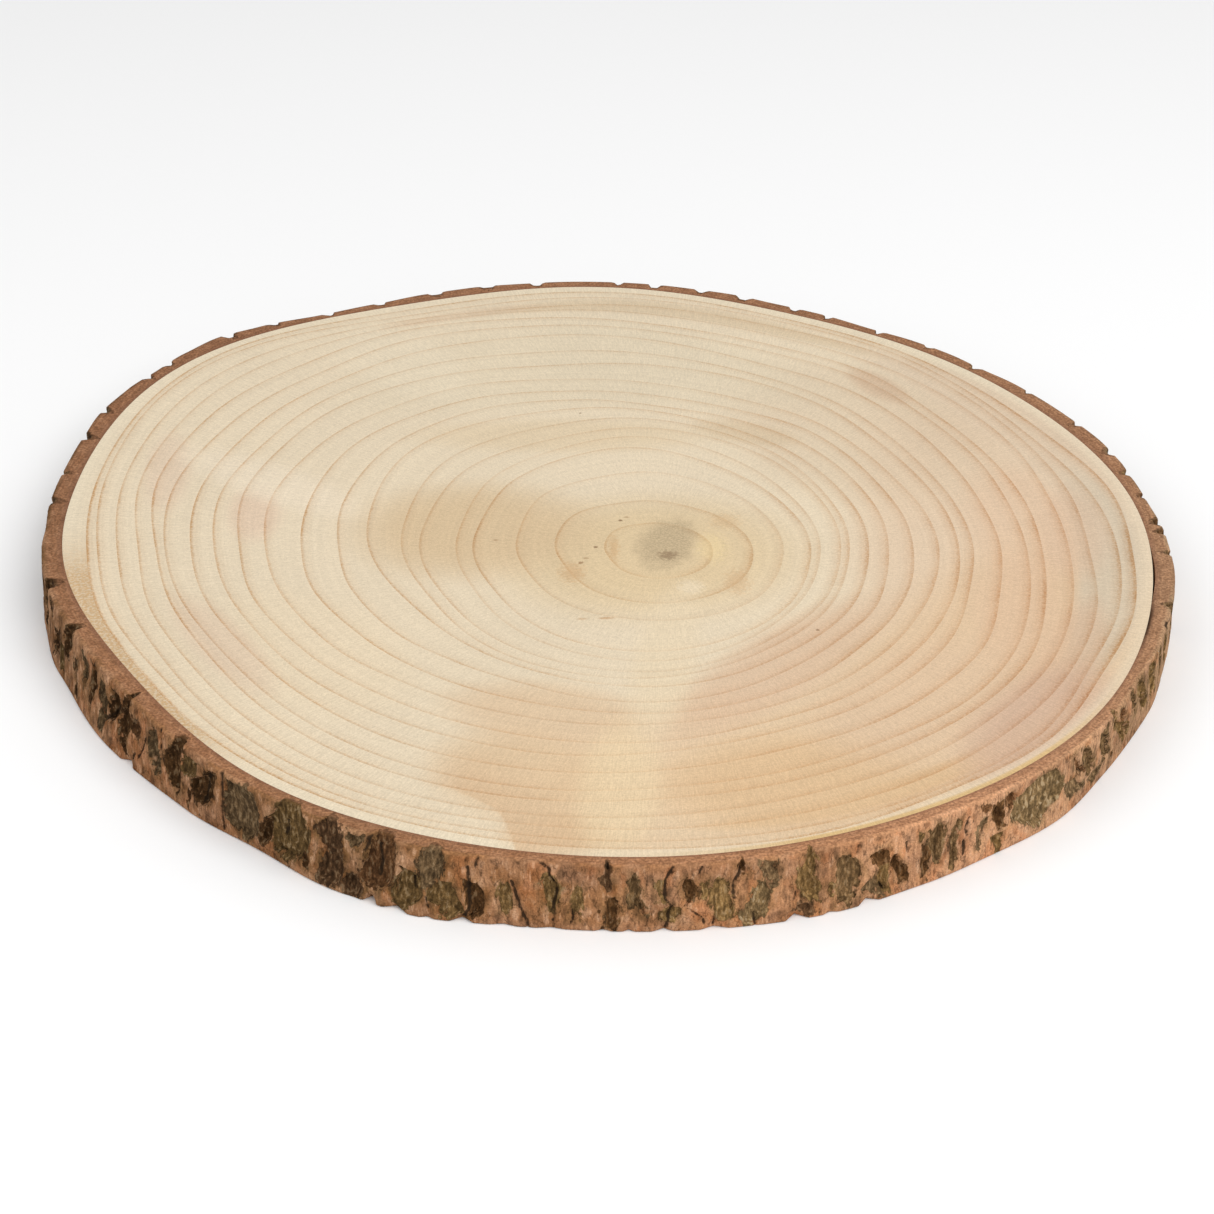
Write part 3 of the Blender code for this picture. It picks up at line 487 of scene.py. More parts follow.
# Small marks: place and half widths in millimetres from the wood's middle, colour and strength
MARKS = (
    (33.5, -20.3, 6, 11, (224, 200, 150), 0.5),
    (26.5, -42.7, 5, 5.5, (228, 212, 184), 0.5),
    (20.2, -24.4, 3.8, 3.2, (126, 98, 68), 0.6),
    (4, -20.5, 2, 9, (198, 158, 110), 0.5),
    (-8.5, -34.5, 5, 7, (198, 158, 112), 0.5),
    (40.2, -40, 4.8, 9, (196, 158, 114), 0.4),
    (38, -4, 6, 6, (202, 168, 124), 0.4),
    (1.5, -59.8, 2.6, 0.8, (184, 136, 88), 0.6),
    (-5.3, -60.3, 2, 0.7, (188, 146, 100), 0.5),
    (-32, -15.5, 1.4, 0.5, (140, 100, 62), 0.7),
    (-1.6, -19.7, 0.8, 0.7, (120, 84, 50), 0.8),
    (-5.9, -29, 0.9, 1, (140, 100, 62), 0.7),
    (-4.4, -26.2, 1.1, 0.6, (150, 110, 72), 0.6),
    (6, -3.7, 0.9, 0.7, (120, 84, 50), 0.8),
    (7.8, -1.6, 1.2, 0.5, (150, 112, 76), 0.6),
    (61.9, -66.2, 0.7, 0.7, (120, 84, 50), 0.7),
    (-7.1, 68, 0.7, 0.7, (120, 84, 50), 0.7),
)
# Dark lines that end the rings: what they do to the wood's colour, and in metres how unsteady they
# are, how wide, and how far the shade behind them reaches
RING_TINT = (0.70, 0.48, 0.29)
RING_WOBBLE = 0.0009
RING_LINE = 0.0014
RING_FADE = 0.0042
# Fine rays, far from the pith and near it: how closely they lie round it, and how short they are
RAYS = ((400.0, 260.0), (120.0, 300.0))


def ring_shares():
    """For each ring from the pith out and each column, its distance as a share of the wood's."""
    stated = np.array(RINGS, float)
    beside = (np.roll(stated, 1, axis=0) + np.roll(stated, -1, axis=0)) / 2
    stated[:, CLEAR_RINGS:] = (stated[:, CLEAR_RINGS:] + beside[:, CLEAR_RINGS:]) / 2
    steps = COLUMNS // len(stated)
    share = (np.arange(steps) / steps)[:, None]
    rows = []
    for index in range(len(stated)):
        before, start, end, after = (stated[(index + k) % len(stated)] for k in (-1, 0, 1, 2))
        slope_in = (end - before) / 2
        slope_out = (after - start) / 2
        rows.append(
            start
            + slope_in * share
            + (3 * (end - start) - 2 * slope_in - slope_out) * share ** 2
            + (2 * (start - end) + slope_in + slope_out) * share ** 3
        )
    rows = np.concatenate(rows)
    bearing = np.arange(COLUMNS) * 360 / COLUMNS
    inmost = [row + swing * np.sin(np.radians(bearing)) for row, swing in INMOST_RINGS]
    rows = np.concatenate((rows, np.array(inmost).T), axis=1)
    return UNROLLED_REACH * (1 - rows.T[::-1] / UNROLLED_ROWS)


def edge_distance(bearing, swollen):
    """Distance from the pith to the wood's edge along each bearing."""
    along_x, along_y = step_along(bearing)
    near = np.zeros_like(bearing)
    far = near + 0.25
    for _ in range(40):
        tried = (near + far) / 2
        x = PITH[0] + tried * along_x
        y = PITH[1] + tried * along_y
        inside = np.hypot(x, y) < lobed_radius(np.degrees(np.arctan2(y, x)), swollen)
        near = np.where(inside, tried, near)
        far = np.where(inside, far, tried)
    return near


def sawn_face(row_shares):
    """Distance, row on the unrolled view, and ring marks for each row and column of a face."""
    bearing = np.arange(COLUMNS) * 360.0 / COLUMNS
    plain_edge = edge_distance(bearing, False)
    lines = ring_shares() * plain_edge
    lines = np.concatenate((np.zeros((1, COLUMNS)), lines, edge_distance(bearing, True)[None]))
    lines = np.maximum.accumulate(lines, axis=0)
    strength = (0.0,) + RING_STRENGTH[::-1] + (0.0,)
    clarity = eased_round(bearing, RING_CLARITY)
    distance, inward, line, year = [], [], [], []
    for ring in range(1, len(lines)):
        width = lines[ring] - lines[ring - 1]
        for share in row_shares:
            distance.append(lines[ring - 1] + width * share)
            inward.append(width * (1 - share))
            line.append(strength[ring] * clarity)
            year.append(np.full(COLUMNS, ring - 1 + share))
    distance = np.array(distance)
    distance[-1] += BARK_GAP * 0.9
    row = UNROLLED_ROWS * (1 - distance / plain_edge / UNROLLED_REACH)
    return bearing, distance, row, np.array(inward), np.array(line), np.array(year)


def wood_colour(bearing, distance, row):
    along_x, along_y = step_along(bearing)
    x = PITH[0] + distance * along_x
    y = PITH[1] + distance * along_y
    colour = np.broadcast_to(CREAM, row.shape + (3,)).copy()
    for middle, half_width, middle_row, half_height, tone, strength in TINTS:
        around = turn_from(middle, bearing) / half_width
        reach = around ** 2 + ((row - middle_row) / half_height) ** 2
        colour = mixed(colour, linear(*tone), strength * smooth_step(reach, 1, 0.3))
    for middle_x, middle_y, half_length, half_width, turn, tone, strength in BLOTCHES:
        from_x = x * 1000 - middle_x
        from_y = y * 1000 - middle_y
        turn = math.radians(turn)
        along = (from_x * math.cos(turn) + from_y * math.sin(turn)) / half_length
        across = (from_y * math.cos(turn) - from_x * math.sin(turn)) / half_width
        reach = along ** 2 + across ** 2
        colour = mixed(colour, linear(*tone), strength * smooth_step(reach, 1.1, 0.1))
    rim = 1 - smooth_step(row, *PALE_RIM_ROWS)
    colour = mixed(colour, linear(*PALE_RIM), PALE_RIM_STRENGTH * rim)
    middle, half_width, tone = GOLDEN_RIGHT
    golden = np.minimum(1, 1.6 * bump(bearing, middle, half_width))
    golden = golden * (1 - smooth_step(row, GOLDEN_DEPTH - 5, GOLDEN_DEPTH))
    return mixed(colour, linear(*tone), golden)


def golden_share(bearing, year):
    """How golden the wood outside the outermost ring is at the left."""
    outermost = len(RING_STRENGTH)
    outside = smooth_step(year, outermost - 0.02, outermost + 0.02)
    return outside * np.minimum(0.85, 2.2 * bump(bearing, *GOLDEN_LEFT[:2]))


def make_wood():
    bearing, distance, row, inward, line, year = sawn_face(ROWS_IN_RING)
    lower = sawn_face(np.linspace(0.02, 1, UNDERSIDE_ROWS))
    _, low_distance, low_row, low_inward, low_line, low_year = lower
    along_x, along_y = step_along(bearing)

    def points_at(reach, height):
        x = WOOD_X + PITH[0] + reach * along_x
        y = WOOD_Y + PITH[1] + reach * along_y
        return np.stack((x, y, np.broadcast_to(height, x.shape)), axis=-1)

    top = points_at(distance, THICKNESS)
    bottom = points_at(low_distance[::-1], 0.0)
    rows = np.concatenate((top, bottom))
    count = len(rows)
    # Rows run outwards on the top and back under it, so faces turn the other way than the bark's. The
    # two ends are closed at the pith.
    faces = [(first, fourth, third, second) for first, second, third, fourth in band_faces(count, COLUMNS)]
    faces = faces[:-COLUMNS]
    pith_top = np.array([[WOOD_X + PITH[0], WOOD_Y + PITH[1], THICKNESS]])
    pith_low = np.array([[WOOD_X + PITH[0], WOOD_Y + PITH[1], 0.0]])
    top_index = count * COLUMNS
    last = (count - 1) * COLUMNS
    for column in range(COLUMNS):
        after = (column + 1) % COLUMNS
        faces.append((top_index, column, after))
        faces.append((top_index + 1, last + after, last + column))
    points = np.concatenate((rows.reshape(-1, 3), pith_top, pith_low))
    wood = mesh_object("wood_dressed", points, faces)

    def both(upper, lower, at_pith):
        joined = np.concatenate((upper, lower[::-1])).reshape(count * COLUMNS, -1)
        return np.concatenate((joined, np.broadcast_to(at_pith, (2, joined.shape[1]))))

    top_colour = wood_colour(bearing, distance, row)
    low_colour = wood_colour(bearing, low_distance, low_row)
    give_colour(wood.data, "tint", both(top_colour, low_colour, top_colour[0, 0]))
    give_value(wood.data, "inward", both(inward, low_inward, inward[0, 0]))
    give_value(wood.data, "line", both(line, low_line, 0))
    give_value(wood.data, "year", both(year, low_year, 0))
    golden = both(golden_share(bearing, year), golden_share(bearing, low_year), 0)
    give_value(wood.data, "golden", golden)
    wood.data.set_sharp_from_angle(angle=math.radians(40))
    return wood


# Bark: how finely the front and back halves are divided
FRONT_STEPS = 1060
BACK_STEPS = 470
SIDE_ROWS = 40
CORNER_HEIGHT = 0.0013
CORNER_DEPTH = 0.0007
FOOT_HEIGHT = 0.0008
FOOT_DEPTH = 0.0003
# Strands, scales, lumps and grain of the bark's side: cells round the slab, how tall a cell is in
# millimetres, and how far each stands out in metres
SIDE_PATTERNS = ((900, 7, 0.00010), (260, 3.2, 0.00016), (110, 8, 0.00026), (1500, 1.2, 0.00008))
FLOOR_RELIEF = 0.00028
# How far from the upper and lower edges the relief begins
RELIEF_FADE = 0.002
CRACK_DEPTH = 0.0006
# Rows of the sawn upper edge, as shares of the way from its outer side to the wood
TOP_ROWS = (0.2, 0.4, 0.6, 0.78, 0.9, 1.0)
# Where painted shade darkens the seam beside the wood, standing in for the gap there: bearing and half
# width
GAP_SHADE_PLACE = (-21.5, 7)
# How far from a furrow's or a crack's edge the shader is told of it, and how long a degree is at the
# bark, in millimetres
TOLD_WITHIN = 3.0
DEGREE = math.radians(1) * WOOD_RADIUS * 1000

# Colour of the ridges round the slab, their own tone with painted shade at the left and back and painted
# light at the front right: bearing, red, green, blue
RIDGE_TONES_AND_LIGHT = (
    (-178, 107, 77, 50), (-150, 138, 99, 67), (-128, 146, 103, 69), (-112, 132, 95, 62),
    (-97, 156, 110, 73), (-75, 188, 136, 96), (-58, 206, 153, 114), (-42, 188, 144, 108),
    (-30, 168, 131, 97), (-15, 168, 137, 105), (20, 150, 114, 84), (90, 138, 100, 72),
    (150, 118, 84, 58),
)
# Painted light and shade on the furrow floors round the slab, darker at the left and back and lighter at
# the front right: bearing and a share of their tones
FLOOR_PAINTED_LIGHT = (
    (-178, 0.42), (-150, 0.52), (-125, 0.6), (-110, 0.62), (-97, 0.95), (-75, 1.25), (-30, 1.15),
    (0, 1.0), (90, 0.75), (150, 0.55),
)
# Pale worn bark, on the side partly a painted highlight on the raised scales, and painted shade in the
# dips between the lumps; on the sawn top both are only grain
BARK_PALE_AND_HIGHLIGHT = (196, 150, 116)
BARK_SHADE = (108, 70, 46)
BARK_TOP = (158, 112, 82)
# Tones of the furrow floors by kind; the dark kind is partly its own colour and partly painted shade of
# the deep furrows
FLOOR_TONES = {
    "dark": linear(92, 64, 38),
    "olive": linear(116, 90, 55),
    "slate": linear(106, 82, 54),
    "grey": linear(112, 89, 62),
    "brown": linear(106, 73, 46),
    "umber": linear(98, 71, 48),
    "lichen": linear(114, 92, 62),
}
BARK_FLAKE = (196, 152, 118)
BARK_SCALE = (208, 168, 136)
LICHEN_TONE = (180, 156, 122)
# Near-black painted shade inside the cracks
CRACK_SHADE = (45, 34, 24)
SEAM_BAND = (124, 88, 70)
# Painted shade standing in for the gap between bark and wood
GAP_SHADE_TONE = (52, 36, 24)
RUST_TINT = (1.0, 0.78, 0.62)
# Tint that makes the ridges darker and more olive towards the furrows
NEAR_FURROW_TINT = (0.66, 0.72, 0.62)
# How thickly pale specks of lichen lie on a floor of some tones
LICHEN = {"lichen": 0.8, "olive": 0.3, "slate": 0.25, "dark": 0.2}


def ridge_colour_and_light(bearing):
    """Colour of the ridges at each bearing, with its painted light and shade, eased between those stated.
    """
    stated = [(tone[0], *linear(*tone[1:])) for tone in RIDGE_TONES_AND_LIGHT]
    parts = [eased_round(bearing, [(tone[0], tone[index]) for tone in stated]) for index in (1, 2, 3)]
    return np.stack(parts, axis=-1)


def back_furrows():
    """Furrows of the back half: one at each notch of the upper edge, and shorter ones between."""
    rng = random.Random(BACK_SEED)
    furrows = []
    bearings = [notch[0] for notch in BACK_NOTCHES] + [182]
    for (bearing, depth), following in zip(BACK_NOTCHES, bearings[1:]):
        furrows.append(random_furrow(rng, bearing, NOTCH_TOP, rng.uniform(1, 8), depth))
        room = following - bearing
        for share in ((0.5,) if room < NARROW_GAP else (0.34, 0.67)):
            middle = bearing + room * (share + rng.uniform(-0.06, 0.06))
            high = rng.uniform(13, 19)
            furrows.append(random_furrow(rng, middle, high, rng.uniform(1, 5), rng.uniform(0.9, 1.9)))
    tones = [BACK_TONES[index % len(BACK_TONES)] for index in range(len(furrows))]
    return [(furrow[0], tone, *furrow[1:]) for furrow, tone in zip(furrows, tones)]


def random_furrow(rng, bearing, high, low, depth):
    """A furrow of random width and lean between two heights."""
    top_half = rng.uniform(0.4, 0.9)
    middle_half = rng.uniform(0.7, 1.3)
    foot = bearing + rng.uniform(-1, 1)
    foot_half = rng.uniform(0.1, 0.3)
    widest = low + (min(high, THICKNESS * 1000) - low) * rng.uniform(0.4, 0.75)
    return (
        depth,
        (high, bearing - top_half, bearing + top_half),
        (widest, bearing - middle_half, bearing + middle_half),
        (low, foot - foot_half, foot + foot_half),
    )


def within_furrow(bearing, height, sections):
    """Millimetres from a furrow's nearest edge, less than 0 outside it."""
    levels, lefts, rights = zip(*reversed(sections))
    level = height * 1000
    bearing = lefts[0] + turn_from(lefts[0], bearing)
    from_left = (bearing - np.interp(level, levels, lefts)) * DEGREE
    from_right = (np.interp(level, levels, rights) - bearing) * DEGREE
    from_end = np.minimum(level - levels[0], levels[-1] - level)
    return np.minimum(np.minimum(from_left, from_right), from_end)


def beside_crack(bearing, height, width, places):
    """Millimetres outside the edge of a crack along some places, less than 0 within it."""
    nearest = np.full_like(bearing + height, TOLD_WITHIN * 2)
    for (start, start_height), (end, end_height) in zip(places, places[1:]):
        x = (bearing - start) * DEGREE
        y = height * 1000 - start_height
        run = (end - start) * DEGREE
        rise = end_height - start_height
        share = np.clip((x * run + y * rise) / (run * run + rise * rise), 0, 1)
        nearest = np.minimum(nearest, np.hypot(x - share * run, y - share * rise))
    return nearest - width / 2


def make_bark():
    front = np.linspace(-180, 0, FRONT_STEPS, endpoint=False)
    back = np.linspace(0, 180, BACK_STEPS, endpoint=False)
    bearing = np.concatenate((front, back))
    columns = len(bearing)
    around = (bearing + 180) / 360
    inner = lobed_radius(bearing) + BARK_GAP
    inner = inner + LIFTED_BARK[2] * bump(bearing, *LIFTED_BARK[:2])
    crest = lobed_radius(bearing) + eased_round(bearing, BARK_CRESTS) / 1000
    flare = eased_round(bearing, FOOT_FLARE) / 1000

    turn = np.linspace(0, math.pi / 2, 11)[1:]
    corner_worn = CORNER_DEPTH * (1 - np.cos(turn))
    corner_height = THICKNESS - CORNER_HEIGHT * (1 - np.sin(turn))
    foot_turn = turn[::-1][::2]
    foot_worn = FOOT_DEPTH * (1 - np.cos(foot_turn))
    foot_height = FOOT_HEIGHT * (1 - np.sin(foot_turn))
    side_height = np.linspace(FOOT_HEIGHT, THICKNESS - CORNER_HEIGHT, SIDE_ROWS)
    heights = np.concatenate((foot_height, side_height, corner_height))
    worn = np.concatenate((foot_worn, np.zeros(SIDE_ROWS), corner_worn))

    height = np.broadcast_to(heights[:, None], (len(heights), columns))
    along = height * 1000
    patterns = [
        patchy(around * cells, along / tall, cells, seed)
        for seed, (cells, tall, _) in enumerate(SIDE_PATTERNS, 1)
    ]
    _, scales, lumps, grain = patterns
    # The ridges' colour, with painted shade at the left and back and painted light at the front right
    colour = np.broadcast_to(ridge_colour_and_light(bearing), height.shape + (3,)).copy()
    # Pale worn bark with a painted highlight on the raised scales, and painted shade in the dips between
    # the lumps
    colour = mixed(colour, linear(*BARK_PALE_AND_HIGHLIGHT), np.clip(0.1 + 0.5 * scales - 0.2 * lumps, 0, 0.5))
    colour = mixed(colour, linear(*BARK_SHADE), np.clip(0.05 - 0.5 * lumps, 0, 0.5))

    within = np.full_like(along, -TOLD_WITHIN)
    cut = np.zeros_like(along)
    floor = colour * 0.5
    lichen = np.zeros_like(along)
    for deepest, tone, *sections in FRONT_FURROWS + tuple(back_furrows()):
        inside = within_furrow(bearing + 0.14 * scales, height + 0.0005 * lumps, sections)
        wall = np.clip(inside / WALL_WIDTH, 0, 1)
        cut = np.maximum(cut, deepest / 1000 * eased(wall))
        nearer = inside > within
        within = np.where(nearer, inside, within)
        floor = np.where(nearer[..., None], FLOOR_TONES[tone], floor)
        lichen = np.where(nearer, LICHEN.get(tone, 0.2), lichen)
    for middle, half_width, deepest in FOOT_NOTCHES:
        away = np.abs(turn_from(middle, bearing)) / half_width
        chip = np.clip(1 - away, 0, 1) * np.clip(1 - height / CHIP_HEIGHT, 0, 1)
        cut = np.maximum(cut, deepest / 1000 * chip)
    # Painted light and shade on the furrow floors by bearing
    floor = floor * eased_round(bearing, FLOOR_PAINTED_LIGHT)[:, None]
    beside = np.full_like(along, TOLD_WITHIN)
    for width, *places in CRACKS:
        beside = np.minimum(beside, beside_crack(bearing + 0.08 * scales, height, width, places))
    cut = cut + CRACK_DEPTH * (1 - smooth_step(beside, -0.1, 0.5))

    floor_share = smooth_step(within, 0, 1.2)
    relief = sum(high * pattern for pattern, (_, _, high) in zip(patterns, SIDE_PATTERNS))
    relief = relief + FLOOR_RELIEF * floor_share * (scales + grain)
    fading = smooth_step(height, 0.0, RELIEF_FADE)
    fading = fading * (1 - smooth_step(height, THICKNESS - RELIEF_FADE, THICKNESS))
    face = crest + flare * (1 - height / THICKNESS)
    outer = np.maximum(face - worn[:, None] - cut + relief * fading, inner + BARK_LEAST)
    rounded = smooth_step(height, THICKNESS - CORNER_HEIGHT * 0.6, THICKNESS)

    across = np.array(TOP_ROWS)[:, None]
    top_radius = outer[-1] + (inner - outer[-1]) * across
    top_grain = patchy(around * 700 + 0 * across, 6 * across + 0 * around, 700, 7)
    top_height = THICKNESS + 0 * top_radius
    # The sawn top takes some of the ridges' colour, and its painted light and shade with it
    top_colour = 0.6 * linear(*BARK_TOP) + 0.4 * ridge_colour_and_light(bearing) + 0 * top_grain[..., None]
    top_colour = mixed(top_colour, linear(*BARK_PALE_AND_HIGHLIGHT), np.clip(0.3 * top_grain, 0, 1))
    top_colour = mixed(top_colour, linear(*BARK_SHADE), np.clip(-0.4 * top_grain, 0, 1))
    inner_height = np.array((THICKNESS / 2, 0.0))[:, None] + 0 * inner

    def whole(side, top):
        top = np.broadcast_to(top, top_radius.shape + side.shape[2:])
        return np.concatenate((side, top, top[-1:], top[-1:]))

    radius = np.concatenate((outer, top_radius, inner[None], inner[None]))
    level = np.concatenate((height, top_height, inner_height))
    along_x, along_y = step_along(bearing)
    x = WOOD_X + radius * along_x
    y = WOOD_Y + radius * along_y
    points = np.stack((x, y, level), axis=-1)
    bark = mesh_object("bark_dressed", points, band_faces(len(points), columns))
    give_colour(bark.data, "tint", whole(colour, top_colour))
    give_colour(bark.data, "floor", whole(floor, top_colour * 0.5))
    values = {
        "within": (within, np.minimum(within[-1], 2.0) - 3.5 * across),
        "beside": (beside, beside[-1] + 2.5 * across),
        "lichen": (lichen, 0.0),
        "top": (rounded, 1.0),
        "seam": (0 * rounded, across + 0 * around),
        "gap_shade_share": (0 * rounded, bump(bearing, *GAP_SHADE_PLACE) * smooth_step(across, 0.7, 0.95)),
    }
    for name, (side, top) in values.items():
        give_value(bark.data, name, whole(side, top))
    bark.data.set_sharp_from_angle(angle=math.radians(60))
    return bark


class Shader:
    """Short names for making and joining a material's nodes."""

    def __init__(self, name):
        self.material = bpy.data.materials.new(name)
        self.material.use_nodes = True
        self.tree = self.material.node_tree
        self.surface = self.tree.nodes["Principled BSDF"]

    def put(self, socket, value):
        if isinstance(value, bpy.types.NodeSocket):
            self.tree.links.new(value, socket)
        else:
            socket.default_value = value

    def attribute(self, name, output="Fac"):
        node = self.tree.nodes.new("ShaderNodeAttribute")
        node.attribute_name = name
        return node.outputs[output]

    def position(self):
        return self.tree.nodes.new("ShaderNodeTexCoord").outputs["Object"]

    def math(self, operation, first, second=0.0):
        node = self.tree.nodes.new("ShaderNodeMath")
        node.operation = operation
        self.put(node.inputs[0], first)
        self.put(node.inputs[1], second)
        return node.outputs[0]

    def plus(self, first, second):
        return self.math("ADD", first, second)

    def times(self, first, *others):
        for other in others:
            first = self.math("MULTIPLY", first, other)
        return first

    def rest(self, share):
        return self.math("SUBTRACT", 1.0, share)

    def swing(self, noise, middle, width):
        """Noise moved to lie round zero, and widened."""
        return self.times(self.math("SUBTRACT", noise, middle), width)

    def vector(self, operation, first, second=(0, 0, 0), output=0):
        node = self.tree.nodes.new("ShaderNodeVectorMath")
        node.operation = operation
        self.put(node.inputs[0], first)
        self.put(node.inputs["Scale"] if operation == "SCALE" else node.inputs[1], second)
        return node.outputs[output]

    def along(self, where, direction):
        return self.vector("DOT_PRODUCT", where, direction, output="Value")

    def noise(self, where, scale, detail=2.0, upright=None):
        """Noise with some cells to a metre, taller than wide where upright is less than 1."""
        if upright:
            where = self.vector("MULTIPLY", where, (1, 1, upright))
        node = self.tree.nodes.new("ShaderNodeTexNoise")
        self.put(node.inputs["Vector"], where)
        node.inputs["Scale"].default_value = scale
        node.inputs["Detail"].default_value = detail
        return node.outputs["Fac"]

    def ramp(self, value, low, high, start, end):
        node = self.tree.nodes.new("ShaderNodeMapRange")
        node.interpolation_type = "SMOOTHSTEP"
        self.put(node.inputs["Value"], value)
        for name, number in (("From Min", low), ("From Max", high), ("To Min", start), ("To Max", end)):
            node.inputs[name].default_value = number
        return node.outputs["Result"]

    def mix(self, share, first, second):
        node = self.tree.nodes.new("ShaderNodeMix")
        node.data_type = "RGBA"
        self.put(node.inputs["Factor"], share)
        self.put(node.inputs[6], first)
        self.put(node.inputs[7], second)
        return node.outputs[2]

    def paint(self, share, colour, tone):
        """The colour painted over by a share with a tone from 0 to 255."""
        return self.mix(share, colour, (*linear(*tone), 1))

    def offset(self, where, x, y):
        """Way to a point from a place on the wood's top, given from the wood's middle."""
        return self.vector("SUBTRACT", where, (WOOD_X + x, WOOD_Y + y, THICKNESS))

    def reach(self, where, x, y, half_x, half_y):
        """Distance from a place on the wood's top, 1 at the edge of an oval round it."""
        shares = self.vector("MULTIPLY", self.offset(where, x, y), (1 / half_x, 1 / half_y, 0))
        return self.vector("LENGTH", shares, output="Value")

    def lit_by(self, colour, amount):
        """The colour made lighter or darker by an amount round 1."""
        return self.vector("SCALE", colour, amount)

    def shaded(self, colour, *ramps):
        """The colour lit by each ramp in turn: a noise, its low and high, and the light at them."""
        for ramp in ramps:
            colour = self.lit_by(colour, self.ramp(*ramp))
        return colour

    def bumped(self, height, distance, strength):
        node = self.tree.nodes.new("ShaderNodeBump")
        node.inputs["Strength"].default_value = strength
        node.inputs["Distance"].default_value = distance
        self.put(node.inputs["Height"], height)
        self.put(self.surface.inputs["Normal"], node.outputs["Normal"])

    def finish(self, colour, roughness, specular):
        self.put(self.surface.inputs["Base Color"], colour)
        self.surface.inputs["Roughness"].default_value = roughness
        self.surface.inputs["Specular IOR Level"].default_value = specular
        return self.material


def tan_beside_lobe(shader, where):
    """Share of the tan that lies right of the sapwood's lobe."""
    unsteady = shader.swing(shader.noise(where, 140, 3.0), 0.5, 0.12)
    reach = shader.plus(shader.reach(where, *SAPWOOD_LOBE), unsteady)
    start = WOOD_X + SAPWOOD_LOBE[0]
    return shader.times(
        shader.ramp(reach, 0.98, 1.03, 0.0, 0.85),
        shader.ramp(reach, 1.05, 1.9, 1.0, 0.0),
        shader.ramp(shader.along(where, (1, 0, 0)), start - 0.002, start + 0.014, 0.0, 1.0),
    )


def stain_share(shader, where):
    """How grey the oval stain round the pith makes the wood."""
    x, y, half_x, half_y = PITH_STAIN
    offset = shader.offset(where, x, y)
    across = shader.along(offset, (1 / half_x, -STAIN_LEAN / half_x, 0))
    along = shader.along(offset, (0, 1 / half_y, 0))
    reach = shader.math("SQRT", shader.plus(shader.times(across, across), shader.times(along, along)))
    unsteady = shader.swing(shader.noise(where, 260, 3.0), 0.5, 0.6)
    return shader.ramp(shader.plus(reach, unsteady), 0.45, 1.05, STAIN_STRENGTH, 0.0)


def ray_light(shader, heading, distance):
    """Light and dark of the fine rays that run out from the pith, finer further out."""
    outward = shader.vector("SCALE", (0, 0, 1), distance)
    far = shader.ramp(distance, 0.03, 0.08, 0.0, 1.0)
    rays = []
    for (around, along), share in zip(RAYS, (far, shader.rest(far))):
        at = shader.vector("SCALE", heading, around)
        at = shader.vector("ADD", at, shader.vector("SCALE", outward, along))
        rays.append(shader.times(shader.noise(at, 1.0, 1.0), share))
    return shader.ramp(shader.plus(*rays), 0.32, 0.68, 0.945, 1.045)


def ring_line(shader, where, rightward, dotted):
    """Share of the rings' dark wood: a line, and behind it a shade that fades towards the pith."""
    wobble = shader.swing(shader.noise(where, 520, 3.0), 0.5, RING_WOBBLE)
    inward = shader.plus(shader.attribute("inward"), wobble)
    narrowed = shader.times(inward, shader.ramp(rightward, -0.2, 0.7, 1.0, 0.62))
    core = shader.ramp(narrowed, 0.0001, RING_LINE, 1.0, 0.0)
    core = shader.times(core, shader.ramp(rightward, -0.2, 0.7, 1.0, 0.85))
    fade = shader.ramp(inward, 0.0, RING_FADE, 0.32, 0.0)
    fade = shader.times(fade, shader.ramp(rightward, -0.4, 0.6, 0.8, 1.5))
    uneven = shader.ramp(shader.noise(where, 60), 0.3, 0.7, 0.6, 1.1)
    return shader.times(shader.math("MAXIMUM", core, fade), shader.attribute("line"), uneven, dotted)


def wood_material():
    shader = Shader("sawn wood")
    noise, ramp, times, paint = shader.noise, shader.ramp, shader.times, shader.paint
    where = shader.position()
    from_pith = shader.vector("MULTIPLY", shader.offset(where, *PITH), (1, 1, 0))
    distance = shader.vector("LENGTH", from_pith, output="Value")
    heading = shader.vector("NORMALIZE", from_pith)
    pore = ramp(noise(where, 2300), 0.3, 0.7, 0.93, 1.06)
    fleck = ramp(noise(where, 1100), 0.3, 0.7, 0.95, 1.045)
    cloud = ramp(noise(where, 26, 3.0), 0.3, 0.7, 0.98, 1.015)
    dotted = ramp(noise(where, 1500), 0.35, 0.65, 0.6, 1.25)
    line = ring_line(shader, where, shader.along(heading, (1, 0, 0)), dotted)

    # Each year's wood is a little lighter or darker than the next
    at_year = shader.vector("SCALE", (7.3, 3.1, 0.0), shader.attribute("year"))
    season = noise(shader.vector("ADD", at_year, shader.vector("SCALE", heading, 0.8)), 1.0)
    season = ramp(season, 0.3, 0.7, 0.972, 1.022)

    colour = shader.attribute("tint", "Color")
    speckle = ramp(noise(where, 1100, 3.0), 0.36, 0.6, 0.4, 1.0)
    colour = paint(times(shader.attribute("golden"), speckle), colour, GOLDEN_LEFT[2])
    colour = paint(tan_beside_lobe(shader, where), colour, SAPWOOD_SIDE)
    colour = shader.mix(line, colour, shader.vector("MULTIPLY", colour, RING_TINT))
    colour = paint(times(stain_share(shader, where), dotted), colour, STAIN_GREY)
    unevenly = shader.swing(noise(where, 900), 0.5, 1.6)
    for *oval, tone, strength in MARKS:
        reach = shader.reach(where, *(length / 1000 for length in oval))
        reach = shader.plus(reach, unevenly)
        colour = paint(ramp(reach, 0.3, 1.1, strength, 0.0), colour, tone)

    light = times(ray_light(shader, heading, distance), pore, cloud, season, fleck)
    relief = shader.plus(times(line, -0.5), times(pore, 2.0))
    shader.bumped(relief, 0.00010, 0.4)
    return shader.finish(shader.lit_by(colour, light), 0.55, 0.3)


